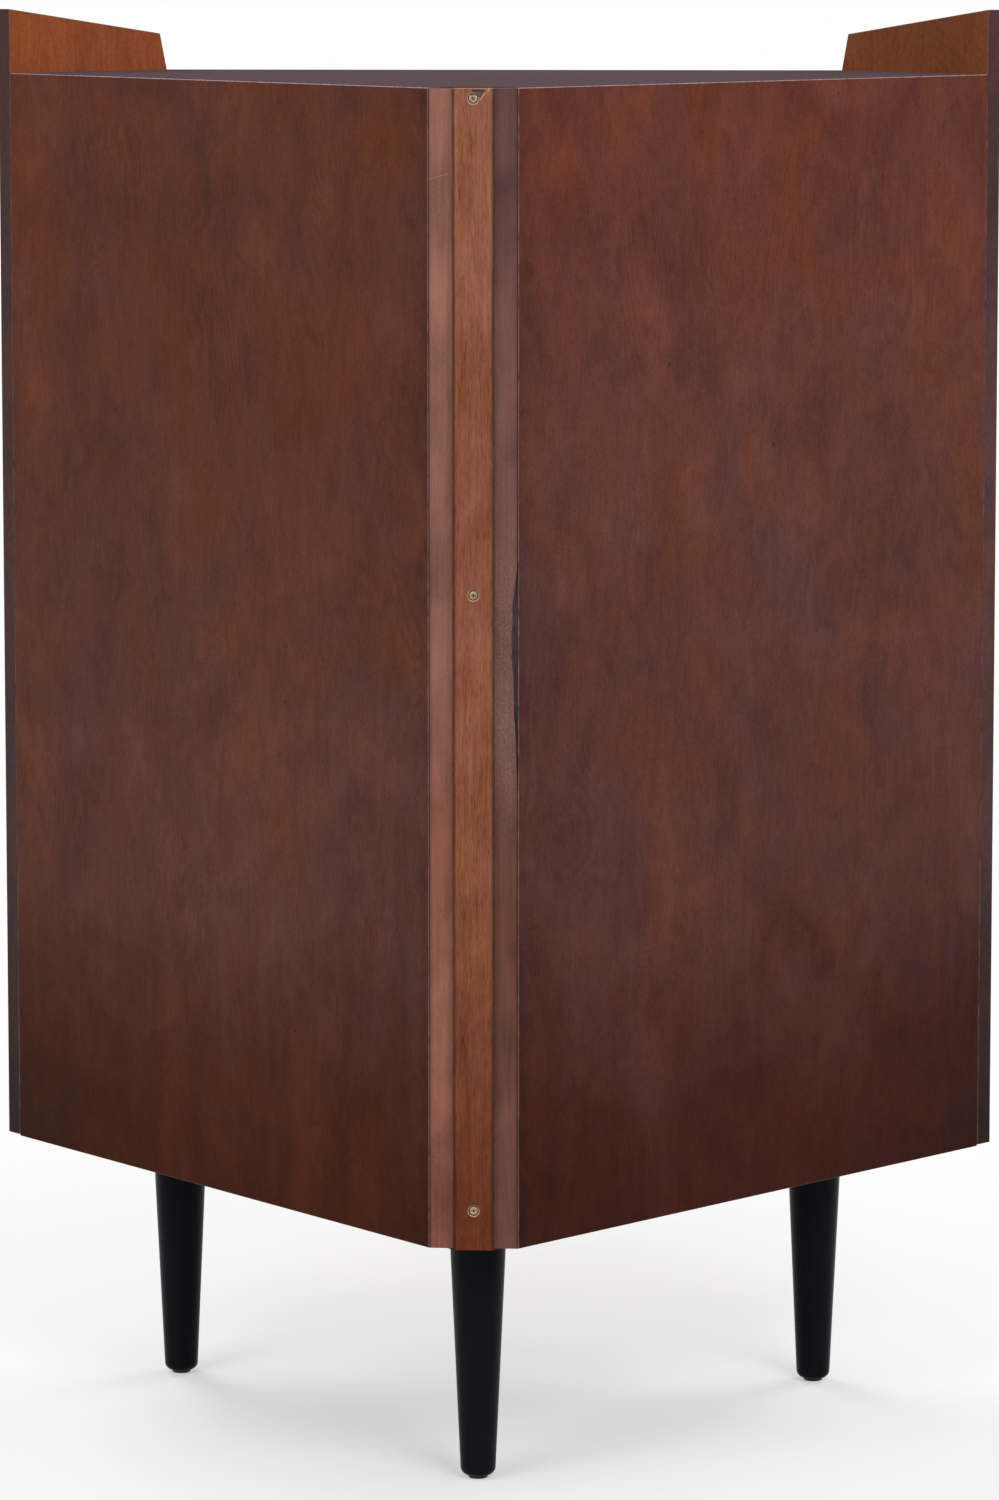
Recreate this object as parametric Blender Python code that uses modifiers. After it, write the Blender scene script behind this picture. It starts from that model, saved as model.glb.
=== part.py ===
"""Corner bar cabinet: a five-sided case on three tapered legs.

The case stands in the corner of a room. Two back panels run along the walls and meet at a narrow
rear post. Two short side panels stand square to the walls and rise above the top. Two doors close
the diagonal front, over a bay with glass rails, a bottle rack and a bay for tall bottles.

Metres. +X is to the right of someone facing the doors, +Y points to the room's corner and +Z is up.
The origin is on the floor, under the middle of the outline. In plan, a setback is a distance from
the point where the two walls meet, measured towards the front.
"""

import math

import bmesh
import bpy
from mathutils import Vector

# Case plan
WALL_RUN = 0.5605
REAR_FLAT_SETBACK = 0.0341
BACK_THICKNESS = 0.0136
SIDE_THICKNESS = 0.0150
SIDE_DEPTH = 0.1637

# Case heights
FLOOR_CLEARANCE = 0.1965
CASE_HEIGHT = 0.8800
BOARD_THICKNESS = 0.0160
MIDDLE_SHELF_DROP = 0.3800
BOTTOM_RECESS = 0.0210
RACK_BAY_HEIGHT = 0.1290

# Side panels above and below the case
SIDE_REAR_RISE = 0.0520
SIDE_FRONT_RISE = 0.0300
SIDE_FRONT_LEAN = 0.0070
SIDE_FOOT_LIFT = 0.0010

# Rear post
POST_DEPTH = 0.0200
POST_ARRIS = 0.0008
POST_HEAD_DROP = 0.0006
POST_FOOT_DROP = 0.0015

# Fits shared by several pieces
GAP = 0.0003
SHELF_PLAY = 0.0009
CUT_OVERRUN = 0.0030

# Screws through the post
SCREW_HEAD_RADIUS = 0.0032
SCREW_HEAD_EDGE = 0.0005
SCREW_HEAD_TAPER = 0.0018
SCREW_SHANK_RADIUS = 0.0017
SCREW_LENGTH = 0.0500
SCREW_TIP = 0.0040
SCREW_SINK = 0.0010
SCREW_WELL_MARGIN = 0.0008

# Front frame
STILE_FACE = 0.0250
FRAME_DEPTH = 0.0200

# Doors
DOOR_THICKNESS = 0.0160
DOOR_SIDE_GAP = 0.0016
DOOR_END_GAP = 0.0018
DOOR_MEETING_GAP = 0.0020
DOOR_ARRIS = 0.0008

# Butt hinges
HINGE_HEIGHT = 0.0600
HINGE_END_OFFSET = 0.0900
KNUCKLE_COUNT = 3
KNUCKLE_RADIUS = 0.0030
KNUCKLE_CLEARANCE = 0.0004
LEAF_THICKNESS = 0.0014
LEAF_SPACING = 0.0006
LEAF_BACK_MARGIN = 0.0030
PIN_RADIUS = 0.00125
PIN_HEAD_RADIUS = 0.0024
PIN_HEAD_HEIGHT = 0.0014

# Door knobs
KNOB_REACH = 0.0260
KNOB_RADIUS = 0.0130
KNOB_HEIGHT = 0.7200
KNOB_INSET = 0.0280
KNOB_BORE_DEPTH = 0.0120
KNOB_SCREW_RADIUS = 0.0020
KNOB_SCREW_HEAD_RADIUS = 0.0040
KNOB_SCREW_HEAD_HEIGHT = 0.0022
KNOB_SCREW_GRIP = 0.0100

# Magnetic catches and their strikes
CATCH_WIDTH = 0.0400
CATCH_DEPTH = 0.0140
CATCH_HEIGHT = 0.0160
CATCH_OFFSET = 0.0450
STRIKE_WIDTH = 0.0300
STRIKE_HEIGHT = 0.0110
STRIKE_THICKNESS = 0.0012

# Legs
LEG_TOP_RADIUS = 0.0230
LEG_FOOT_RADIUS = 0.0134
LEG_FOOT_ROUND = 0.0055
REAR_LEG_INSET = 0.0439
FRONT_LEG_INSET = 0.1021
FRONT_LEG_END_INSET = 0.1245
LEG_PLATE_SIDE = 0.0560
LEG_PLATE_THICKNESS = 0.0025
LEG_BOLT_RADIUS = 0.0040
LEG_BOLT_GRIP = 0.0250
LEG_BOLT_RISE = 0.0120
LEG_BORE_SPARE = 0.0040
PANEL_BOLT_CLEARANCE = 0.0008
GLIDE_RADIUS = 0.0076
GLIDE_THICKNESS = 0.0020
GLIDE_EDGE = 0.0005
GLIDE_PIN_RADIUS = 0.0013
GLIDE_PIN_LENGTH = 0.0120

# Glass rails under the top
GLASS_RAIL_COUNT = 4
GLASS_RAIL_PITCH = 0.0900
GLASS_SLOT = 0.0250
GLASS_RAIL_WEB = 0.0120
GLASS_RAIL_FLANGE = 0.0050
GLASS_RAIL_DROP = 0.0260
GLASS_RAIL_CATCH_CLEARANCE = 0.0103
GLASS_RAIL_WALL_CLEARANCE = 0.0432

# Bottle rack
BOTTLE_BAYS = 4
BOTTLE_PITCH = 0.0950
BOTTLE_AXIS_RISE = 0.0480
BOTTLE_BODY_RADIUS = 0.0390
BOTTLE_NECK_RADIUS = 0.0160
BOTTLE_CLEARANCE = 0.0020
CRADLE_THICKNESS = 0.0140
CRADLE_END = 0.0060
FRONT_CRADLE_HEIGHT = 0.0380
REAR_CRADLE_HEIGHT = 0.0440
FRONT_CRADLE_INSET = 0.0621
REAR_CRADLE_WALL_CLEARANCE = 0.0177

# Shelf pins
SHELF_PIN_RADIUS = 0.0025
SHELF_PIN_SEAT = 0.0080
SHELF_PIN_REACH = 0.0080
SHELF_PIN_COLLAR_RADIUS = 0.0040
SHELF_PIN_COLLAR = 0.0012
WALL_PIN_RUN = 0.2000
SIDE_PIN_DEPTH = 0.1000

# Facets round a turned piece
LEG_FACETS = 24
KNOB_FACETS = 20
SMALL_FACETS = 16
PIN_FACETS = 12
SCALLOP_STEPS = 10

# Knob outline from its crown to its foot: share of the radius, share of the reach
KNOB_PROFILE_SHARES = (
    (0.00, 1.00),
    (0.42, 0.98),
    (0.76, 0.91),
    (0.96, 0.79),
    (1.00, 0.66),
    (0.88, 0.54),
    (0.58, 0.44),
    (0.40, 0.32),
    (0.38, 0.18),
    (0.54, 0.00),
)

# Finishes: base colour, roughness and metallic share
FINISHES = {
    "panel_veneer": ((0.115, 0.036, 0.022), 0.42, 0.0),
    "board_veneer": ((0.130, 0.045, 0.026), 0.40, 0.0),
    "post_wood": ((0.290, 0.092, 0.043), 0.50, 0.0),
    "black_lacquer": ((0.006, 0.006, 0.008), 0.32, 0.0),
    "aged_brass": ((0.420, 0.270, 0.110), 0.34, 1.0),
    "zinc_steel": ((0.560, 0.550, 0.530), 0.36, 1.0),
    "black_nylon": ((0.012, 0.012, 0.013), 0.55, 0.0),
}

RIGHT = 1
LEFT = -1
SIDES = {"right": RIGHT, "left": LEFT}
DIAGONAL = math.sqrt(2)
WALL_TURN = math.pi / 4
QUARTER_TURN = math.pi / 2
FULL_TURN = 2 * math.pi

# Plan places that follow from the sizes above
FRONT_SETBACK = (WALL_RUN + SIDE_DEPTH) / DIAGONAL
CORNER_Y = (FRONT_SETBACK + KNOB_REACH + REAR_FLAT_SETBACK) / 2
STILE_INNER_X = WALL_RUN * DIAGONAL - FRONT_SETBACK - STILE_FACE
DOOR_REAR_SETBACK = FRONT_SETBACK - DOOR_THICKNESS
FRAME_REAR_SETBACK = FRONT_SETBACK - FRAME_DEPTH
HINGE_SETBACK = FRONT_SETBACK + KNUCKLE_RADIUS + KNUCKLE_CLEARANCE
HINGE_X = STILE_INNER_X - DOOR_SIDE_GAP / 2
DOOR_MEETING_X = DOOR_MEETING_GAP / 2
CATCH_FRONT_SETBACK = DOOR_REAR_SETBACK - STRIKE_THICKNESS - 2 * GAP
CATCH_REAR_SETBACK = CATCH_FRONT_SETBACK - CATCH_DEPTH
WALL_INSET = BACK_THICKNESS * DIAGONAL
POST_FRONT_SETBACK = REAR_FLAT_SETBACK + POST_DEPTH
CASE_HALF_WIDTH = (WALL_RUN - BACK_THICKNESS) / DIAGONAL

# Places inside and under the case, each held off its neighbours
REAR_LEG_SETBACK = POST_FRONT_SETBACK + REAR_LEG_INSET
FRONT_LEG_SETBACK = FRAME_REAR_SETBACK - FRONT_LEG_INSET
FRONT_LEG_SPREAD = CASE_HALF_WIDTH - FRONT_LEG_END_INSET
GLASS_RAIL_FLANGE_HALF = (GLASS_RAIL_PITCH - GLASS_SLOT) / 2
GLASS_RAIL_SPREAD = (GLASS_RAIL_COUNT - 1) * GLASS_RAIL_PITCH / 2 + GLASS_RAIL_FLANGE_HALF
GLASS_RAIL_FRONT_SETBACK = CATCH_REAR_SETBACK - GLASS_RAIL_CATCH_CLEARANCE
GLASS_RAIL_REAR_SETBACK = GLASS_RAIL_SPREAD + WALL_INSET + GLASS_RAIL_WALL_CLEARANCE
CRADLE_HALF_LENGTH = BOTTLE_BAYS * BOTTLE_PITCH / 2 + CRADLE_END
REAR_CRADLE_BACK_SETBACK = CRADLE_HALF_LENGTH + WALL_INSET + REAR_CRADLE_WALL_CLEARANCE
REAR_CRADLE_SETBACK = REAR_CRADLE_BACK_SETBACK + CRADLE_THICKNESS / 2
FRONT_CRADLE_SETBACK = FRAME_REAR_SETBACK - FRONT_CRADLE_INSET

# Heights that follow from the sizes above
CASE_TOP = FLOOR_CLEARANCE + CASE_HEIGHT
TOP_UNDERSIDE = CASE_TOP - BOARD_THICKNESS
MIDDLE_SHELF_Z = CASE_TOP - MIDDLE_SHELF_DROP
BOTTOM_UNDERSIDE = FLOOR_CLEARANCE + BOTTOM_RECESS
BOTTOM_PANEL_Z = BOTTOM_UNDERSIDE + BOARD_THICKNESS / 2
BOTTOM_TOP = BOTTOM_UNDERSIDE + BOARD_THICKNESS
TOP_PANEL_Z = CASE_TOP - BOARD_THICKNESS / 2
LOOSE_SHELF_TOP = MIDDLE_SHELF_Z - BOARD_THICKNESS / 2 - RACK_BAY_HEIGHT
LOOSE_SHELF_Z = LOOSE_SHELF_TOP - BOARD_THICKNESS / 2
LOOSE_SHELF_UNDERSIDE = LOOSE_SHELF_TOP - BOARD_THICKNESS
SIDE_FOOT = FLOOR_CLEARANCE + SIDE_FOOT_LIFT
DOOR_FOOT = BOTTOM_TOP + DOOR_END_GAP
DOOR_HEAD = TOP_UNDERSIDE - DOOR_END_GAP
LEG_PLATE_TOP = BOTTOM_UNDERSIDE - GAP
LEG_TOP = LEG_PLATE_TOP - LEG_PLATE_THICKNESS - GAP
LEG_FOOT = GLIDE_THICKNESS + GAP
LEAF_REACH = KNUCKLE_RADIUS + KNUCKLE_CLEARANCE + DOOR_THICKNESS - LEAF_BACK_MARGIN
LEAF_OUTER = LEAF_SPACING / 2 + LEAF_THICKNESS
KNUCKLE_HEIGHT = HINGE_HEIGHT / KNUCKLE_COUNT


def clear_scene():
    for thing in list(bpy.data.objects):
        bpy.data.objects.remove(thing, do_unlink=True)


def new_collection(name):
    collection = bpy.data.collections.new(name)
    bpy.context.scene.collection.children.link(collection)
    return collection


def make_finish(name, finish):
    """A material named for its piece, with the colour and sheen of the finish."""
    colour, roughness, metallic = FINISHES[finish]
    material = bpy.data.materials.new(name + "_" + finish)
    material.use_nodes = True
    shader = material.node_tree.nodes["Principled BSDF"]
    shader.inputs["Base Color"].default_value = (*colour, 1)
    shader.inputs["Roughness"].default_value = roughness
    shader.inputs["Metallic"].default_value = metallic
    material.diffuse_color = (*colour, 1)
    return material


def add_part(name, mesh, finish, location=(0, 0, 0), rotation=(0, 0, 0), parent=None):
    """Put a mesh in the cabinet's collection, at its place."""
    part = bpy.data.objects.new(name, mesh)
    bpy.data.collections["corner_bar_cabinet"].objects.link(part)
    mesh.materials.clear()
    mesh.materials.append(make_finish(name, finish))
    part.location = location
    part.rotation_euler = rotation
    part.parent = parent
    return part


def add_cutter(name, mesh, location=(0, 0, 0), rotation=(0, 0, 0), parent=None):
    cutter = bpy.data.objects.new(name, mesh)
    bpy.data.collections["cutters"].objects.link(cutter)
    cutter.location = location
    cutter.rotation_euler = rotation
    cutter.parent = parent
    cutter.hide_render = True
    cutter.display_type = "WIRE"
    return cutter


def add_pivot(name, location, rotation=(0, 0, 0)):
    """An empty that carries pieces."""
    pivot = bpy.data.objects.new(name, None)
    bpy.data.collections["corner_bar_cabinet"].objects.link(pivot)
    pivot.location = location
    pivot.rotation_euler = rotation
    return pivot


def cut(part, cutter):
    modifier = part.modifiers.new(cutter.name, "BOOLEAN")
    modifier.operation = "DIFFERENCE"
    modifier.object = cutter
    return modifier


def soften(part, width):
    modifier = part.modifiers.new("arris", "BEVEL")
    modifier.width = width
    modifier.segments = 1
    modifier.limit_method = "ANGLE"
    return modifier


def box_mesh(name, low, high):
    """A box between two corners."""
    low = Vector(low)
    high = Vector(high)
    shape = bmesh.new()
    bmesh.ops.create_cube(shape, size=1)
    bmesh.ops.scale(shape, vec=high - low, verts=shape.verts)
    bmesh.ops.translate(shape, vec=(low + high) / 2, verts=shape.verts)
    mesh = bpy.data.meshes.new(name)
    shape.to_mesh(mesh)
    shape.free()
    return mesh


def outline_mesh(name, outlines, thickness):
    """A flat outline in XY, with any holes after it, thickened evenly about Z = 0."""
    curve = bpy.data.curves.new(name, "CURVE")
    curve.dimensions = "2D"
    curve.fill_mode = "BOTH"
    curve.extrude = thickness / 2
    for points in outlines:
        spline = curve.splines.new("POLY")
        spline.points.add(len(points[1:]))
        spline.use_cyclic_u = True
        for knot, (x, y) in zip(spline.points, points):
            knot.co = (x, y, 0, 1)
    guide = bpy.data.objects.new(name + "_outline", curve)
    bpy.context.scene.collection.objects.link(guide)
    bpy.context.view_layer.update()
    graph = bpy.context.evaluated_depsgraph_get()
    mesh = bpy.data.meshes.new_from_object(guide.evaluated_get(graph))
    bpy.data.objects.remove(guide, do_unlink=True)
    shape = bmesh.new()
    shape.from_mesh(mesh)
    bmesh.ops.remove_doubles(shape, verts=shape.verts, dist=GAP / 10)
    bmesh.ops.recalc_face_normals(shape, faces=shape.faces)
    shape.to_mesh(mesh)
    shape.free()
    mesh.name = name
    return mesh


def turned_mesh(name, profile, facets):
    """A profile of (radius, height) pairs, from the top down its outer side, turned about Z."""
    mesh = bpy.data.meshes.new(name + "_profile")
    points = [(radius, 0, height) for radius, height in profile]
    steps = [(index, index + 1) for index in range(len(points) - 1)]
    mesh.from_pydata(points, steps, [])
    guide = bpy.data.objects.new(name + "_profile", mesh)
    bpy.context.scene.collection.objects.link(guide)
    modifier = guide.modifiers.new("turn", "SCREW")
    modifier.steps = facets
    modifier.render_steps = facets
    modifier.use_merge_vertices = True
    modifier.merge_threshold = GAP / 10
    bpy.context.view_layer.update()
    graph = bpy.context.evaluated_depsgraph_get()
    turned = bpy.data.meshes.new_from_object(guide.evaluated_get(graph))
    bpy.data.objects.remove(guide, do_unlink=True)
    turned.name = name
    turned.shade_smooth()
    turned.set_sharp_from_angle(angle=WALL_TURN)
    return turned


def arc(centre, radius, start, end, steps):
    """Points along an arc, both ends included."""
    angles = [start + (end - start) * step / steps for step in range(steps + 1)]
    return [(centre[0] + radius * math.cos(a), centre[1] + radius * math.sin(a)) for a in angles]


def in_plan(x, setback):
    return (x, CORNER_Y - setback)


def on_wall(side, along, inward):
    """The plan place of a point so far along one wall and so far in from it."""
    return in_plan(side * (along - inward) / DIAGONAL, (along + inward) / DIAGONAL)


def into_case(side):
    """The way square to one wall, into the case."""
    return Vector((-side, -1, 0)).normalized()


def along_wall(side):
    return Vector((side, -1, 0)).normalized()


def aim(direction):
    """The turn that brings +Z to a direction."""
    return Vector(direction).to_track_quat("Z", "Y").to_euler()


def mirrored_outline(right_half):
    """A whole outline from the points of its +X half."""
    return right_half + [(-x, y) for x, y in reversed(right_half)]


def board_outline(front_setback, play):
    """The five-sided board inside the panels, with its rear corner cut off at the post."""
    rear_setback = POST_FRONT_SETBACK + play
    rear_x = rear_setback - (BACK_THICKNESS + play) * DIAGONAL
    front_x = (WALL_RUN - play) * DIAGONAL - front_setback
    corner = on_wall(RIGHT, WALL_RUN - play, BACK_THICKNESS + play)
    return mirrored_outline([in_plan(rear_x, rear_setback), corner, in_plan(front_x, front_setback)])


def make_board(name, middle_z, front_setback, play=GAP):
    mesh = outline_mesh(name, [board_outline(front_setback, play)], BOARD_THICKNESS)
    return add_part(name, mesh, "board_veneer", (0, 0, middle_z))


def make_boards():
    inner_front = FRAME_REAR_SETBACK - GAP
    return {
        "top": make_board("top_panel", TOP_PANEL_Z, FRONT_SETBACK),
        "middle": make_board("middle_shelf", MIDDLE_SHELF_Z, inner_front),
        "bottom": make_board("bottom_panel", BOTTOM_PANEL_Z, inner_front),
        "loose": make_board("adjustable_shelf", LOOSE_SHELF_Z, inner_front, SHELF_PLAY),
    }


def make_back_panel(word, side):
    """A panel along one wall. Its rear end is mitred flush with the post."""
    mitre_run = REAR_FLAT_SETBACK * DIAGONAL
    outline = [
        on_wall(side, mitre_run, 0),
        on_wall(side, WALL_RUN - GAP, 0),
        on_wall(side, WALL_RUN - GAP, BACK_THICKNESS),
        on_wall(side, mitre_run - BACK_THICKNESS, BACK_THICKNESS),
    ]
    name = word + "_back_panel"
    mesh = outline_mesh(name, [outline], CASE_HEIGHT)
    return add_part(name, mesh, "panel_veneer", (0, 0, FLOOR_CLEARANCE + CASE_HEIGHT / 2))


def make_side_panel(word, side):
    """A panel square to one wall, whose top slopes down to a leaning front end."""
    tip = SIDE_DEPTH - SIDE_FRONT_LEAN
    outline = [
        (0, SIDE_FOOT),
        (SIDE_DEPTH, SIDE_FOOT),
        (SIDE_DEPTH, CASE_TOP),
        (tip, CASE_TOP + SIDE_FRONT_RISE),
        (0, CASE_TOP + SIDE_REAR_RISE),
    ]
    name = word + "_side_panel"
    mesh = outline_mesh(name, [outline], SIDE_THICKNESS)
    place = on_wall(side, WALL_RUN + SIDE_THICKNESS / 2, 0)
    inward = into_case(side)
    turn = math.atan2(inward.y, inward.x)
    return add_part(name, mesh, "panel_veneer", (*place, 0), (QUARTER_TURN, 0, turn))


def make_post():
    """The strip between the mitred ends, widening inwards along the back panels' inner faces."""
    rear_x = REAR_FLAT_SETBACK - (BACK_THICKNESS + GAP) * DIAGONAL
    front_x = rear_x + POST_DEPTH
    outline = mirrored_outline(
        [
            in_plan(rear_x - POST_ARRIS, REAR_FLAT_SETBACK),
            in_plan(rear_x + POST_ARRIS, REAR_FLAT_SETBACK + POST_ARRIS),
            in_plan(front_x, POST_FRONT_SETBACK),
        ]
    )
    foot = FLOOR_CLEARANCE - POST_FOOT_DROP
    head = CASE_TOP - POST_HEAD_DROP
    mesh = outline_mesh("corner_post", [outline], head - foot)
    return add_part("corner_post", mesh, "post_wood", (0, 0, (head + foot) / 2))


def screw_profile():
    """A countersunk screw, with its head's face at height zero."""
    taper_end = -SCREW_HEAD_EDGE - SCREW_HEAD_TAPER
    return [
        (0, 0),
        (SCREW_HEAD_RADIUS, 0),
        (SCREW_HEAD_RADIUS, -SCREW_HEAD_EDGE),
        (SCREW_SHANK_RADIUS, taper_end),
        (SCREW_SHANK_RADIUS, SCREW_TIP - SCREW_LENGTH),
        (0, -SCREW_LENGTH),
    ]


def screw_hole_profile():
    """The well, seat and pilot hole round that screw, with the well's mouth open."""
    well = SCREW_HEAD_RADIUS + SCREW_WELL_MARGIN
    seat = -SCREW_HEAD_EDGE - GAP
    return [
        (0, SCREW_SINK + CUT_OVERRUN),
        (well, SCREW_SINK + CUT_OVERRUN),
        (well, seat),
        (SCREW_HEAD_RADIUS + GAP, seat),
        (SCREW_SHANK_RADIUS + GAP, seat - SCREW_HEAD_TAPER),
        (SCREW_SHANK_RADIUS + GAP, SCREW_TIP - SCREW_LENGTH - GAP),
        (0, -SCREW_LENGTH - SCREW_TIP),
    ]


def make_post_screws(post, boards):
    """One screw through the post into the edge of each fixed board."""
    levels = {"top": TOP_PANEL_Z, "middle": MIDDLE_SHELF_Z, "bottom": BOTTOM_PANEL_Z}
    turn = aim((0, 1, 0))
    for level, height in levels.items():
        place = (*in_plan(0, REAR_FLAT_SETBACK + SCREW_SINK), height)
        name = "post_screw_" + level
        mesh = turned_mesh(name, screw_profile(), SMALL_FACETS)
        add_part(name, mesh, "aged_brass", place, turn)
        hole = turned_mesh(name + "_hole", screw_hole_profile(), SMALL_FACETS)
        cutter = add_cutter(name + "_hole", hole, place, turn)
        cut(post, cutter)
        cut(boards[level], cutter)


def make_stile(word, side):
    """A front post against one side panel, which carries the hinges."""
    outer_x = WALL_RUN * DIAGONAL - FRONT_SETBACK - GAP * DIAGONAL
    outline = [
        in_plan(side * STILE_INNER_X, FRONT_SETBACK),
        in_plan(side * outer_x, FRONT_SETBACK),
        in_plan(side * (outer_x + FRAME_DEPTH), FRAME_REAR_SETBACK),
        in_plan(side * STILE_INNER_X, FRAME_REAR_SETBACK),
    ]
    head = TOP_UNDERSIDE - GAP
    name = word + "_front_stile"
    mesh = outline_mesh(name, [outline], head - SIDE_FOOT)
    return add_part(name, mesh, "panel_veneer", (0, 0, (head + SIDE_FOOT) / 2))


def make_front_rail():
    """The rail under the doors, in front of the bottom panel."""
    x = STILE_INNER_X - GAP
    low = (-x, CORNER_Y - FRONT_SETBACK, SIDE_FOOT)
    high = (x, CORNER_Y - FRAME_REAR_SETBACK, BOTTOM_TOP)
    add_part("front_rail", box_mesh("front_rail", low, high), "panel_veneer")


def make_door(word, side, pivot):
    """A slab door, drawn from its hinge axis."""
    front = HINGE_SETBACK - FRONT_SETBACK
    hinge_edge = -side * DOOR_SIDE_GAP / 2
    free_edge = side * (DOOR_MEETING_X - HINGE_X)
    low = (min(hinge_edge, free_edge), front, DOOR_FOOT)
    high = (max(hinge_edge, free_edge), front + DOOR_THICKNESS, DOOR_HEAD)
    name = word + "_door"
    door = add_part(name, box_mesh(name, low, high), "panel_veneer", parent=pivot)
    soften(door, DOOR_ARRIS)
    return door


def leaf_outline(side):
    """A hinge leaf from above: a flat plate that curls round the pin. side is the plate's side."""
    near = LEAF_SPACING / 2
    start = math.atan2(math.sqrt(KNUCKLE_RADIUS**2 - near**2), near)
    end = math.atan2(math.sqrt(KNUCKLE_RADIUS**2 - LEAF_OUTER**2), LEAF_OUTER)
    curl = arc((0, 0), KNUCKLE_RADIUS, start, end + FULL_TURN, SMALL_FACETS)
    plate = [(LEAF_OUTER, LEAF_REACH), (near, LEAF_REACH)]
    return [(side * x, y) for x, y in plate + curl]


def knuckle_levels(first):
    """The middle heights of every other knuckle."""
    start = -HINGE_HEIGHT / 2 + KNUCKLE_HEIGHT / 2
    return [start + KNUCKLE_HEIGHT * index for index in range(first, KNUCKLE_COUNT, 2)]


def make_leaf(name, side, other_knuckles, location, parent):
    """A leaf with its own knuckles. The other leaf's are cut out of it."""
    bore = arc((0, 0), PIN_RADIUS + GAP, 0, FULL_TURN, PIN_FACETS)[:-1]
    mesh = outline_mesh(name, [leaf_outline(side), bore], HINGE_HEIGHT)
    leaf = add_part(name, mesh, "aged_brass", location, parent=parent)
    radius = KNUCKLE_RADIUS + KNUCKLE_CLEARANCE
    for number, level in enumerate(other_knuckles):
        half = KNUCKLE_HEIGHT / 2 + GAP
        outermost = abs(level) + half > HINGE_HEIGHT / 2
        top = level + half + (CUT_OVERRUN if outermost and level > 0 else 0)
        foot = level - half - (CUT_OVERRUN if outermost and level < 0 else 0)
        profile = [(0, top), (radius, top), (radius, foot), (0, foot)]
        notch = turned_mesh(name + "_notch", profile, SMALL_FACETS)
        cut(leaf, add_cutter(f"{name}_notch_{number}", notch, location, parent=parent))
    return leaf


def pin_profile():
    head = HINGE_HEIGHT / 2 + GAP
    foot = -HINGE_HEIGHT / 2
    return [
        (0, head + PIN_HEAD_HEIGHT),
        (PIN_HEAD_RADIUS, head + PIN_HEAD_HEIGHT),
        (PIN_HEAD_RADIUS, head),
        (PIN_RADIUS, head),
        (PIN_RADIUS, foot),
        (0, foot),
    ]


def mortise_mesh(name, side, wood_face):
    """The pocket for one leaf in an edge whose face is wood_face from the hinge axis."""
    deep = LEAF_OUTER + GAP
    shallow = wood_face - CUT_OVERRUN
    low = (min(side * shallow, side * deep), -CUT_OVERRUN, -HINGE_HEIGHT / 2 - GAP)
    high = (max(side * shallow, side * deep), LEAF_REACH + GAP, HINGE_HEIGHT / 2 + GAP)
    return box_mesh(name, low, high)


def make_hinge(word, side, level, middle_z, stile, door, pivot):
    """A butt hinge: one leaf let into the stile, one into the door, and a loose pin."""
    name = f"{word}_{level}_hinge"
    place = (*in_plan(side * HINGE_X, HINGE_SETBACK), middle_z)
    on_pivot = (0, 0, middle_z)
    make_leaf(name + "_frame_leaf", side, knuckle_levels(1), place, None)
    make_leaf(name + "_door_leaf", -side, knuckle_levels(0), on_pivot, pivot)
    pin = turned_mesh(name + "_pin", pin_profile(), PIN_FACETS)
    add_part(name + "_pin", pin, "aged_brass", place)
    face = DOOR_SIDE_GAP / 2
    stile_pocket = mortise_mesh(name + "_stile_mortise", side, face)
    cut(stile, add_cutter(name + "_stile_mortise", stile_pocket, place))
    door_pocket = mortise_mesh(name + "_door_mortise", -side, face)
    cut(door, add_cutter(name + "_door_mortise", door_pocket, on_pivot, parent=pivot))


def knob_profile():
    outer = [(r * KNOB_RADIUS, GAP + h * (KNOB_REACH - GAP)) for r, h in KNOB_PROFILE_SHARES]
    bore = KNOB_SCREW_RADIUS + GAP
    return outer + [(bore, GAP), (bore, GAP + KNOB_BORE_DEPTH), (0, GAP + KNOB_BORE_DEPTH)]


def knob_screw_profile():
    """A pan-head screw from inside the door, with the underside of its head at height zero."""
    return [
        (0, KNOB_SCREW_HEAD_HEIGHT),
        (KNOB_SCREW_HEAD_RADIUS - GAP, KNOB_SCREW_HEAD_HEIGHT),
        (KNOB_SCREW_HEAD_RADIUS, KNOB_SCREW_HEAD_HEIGHT / 2),
        (KNOB_SCREW_HEAD_RADIUS, 0),
        (KNOB_SCREW_RADIUS, 0),
        (KNOB_SCREW_RADIUS, -DOOR_THICKNESS - GAP - KNOB_SCREW_GRIP),
        (0, -DOOR_THICKNESS - GAP - KNOB_SCREW_GRIP),
    ]


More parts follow.
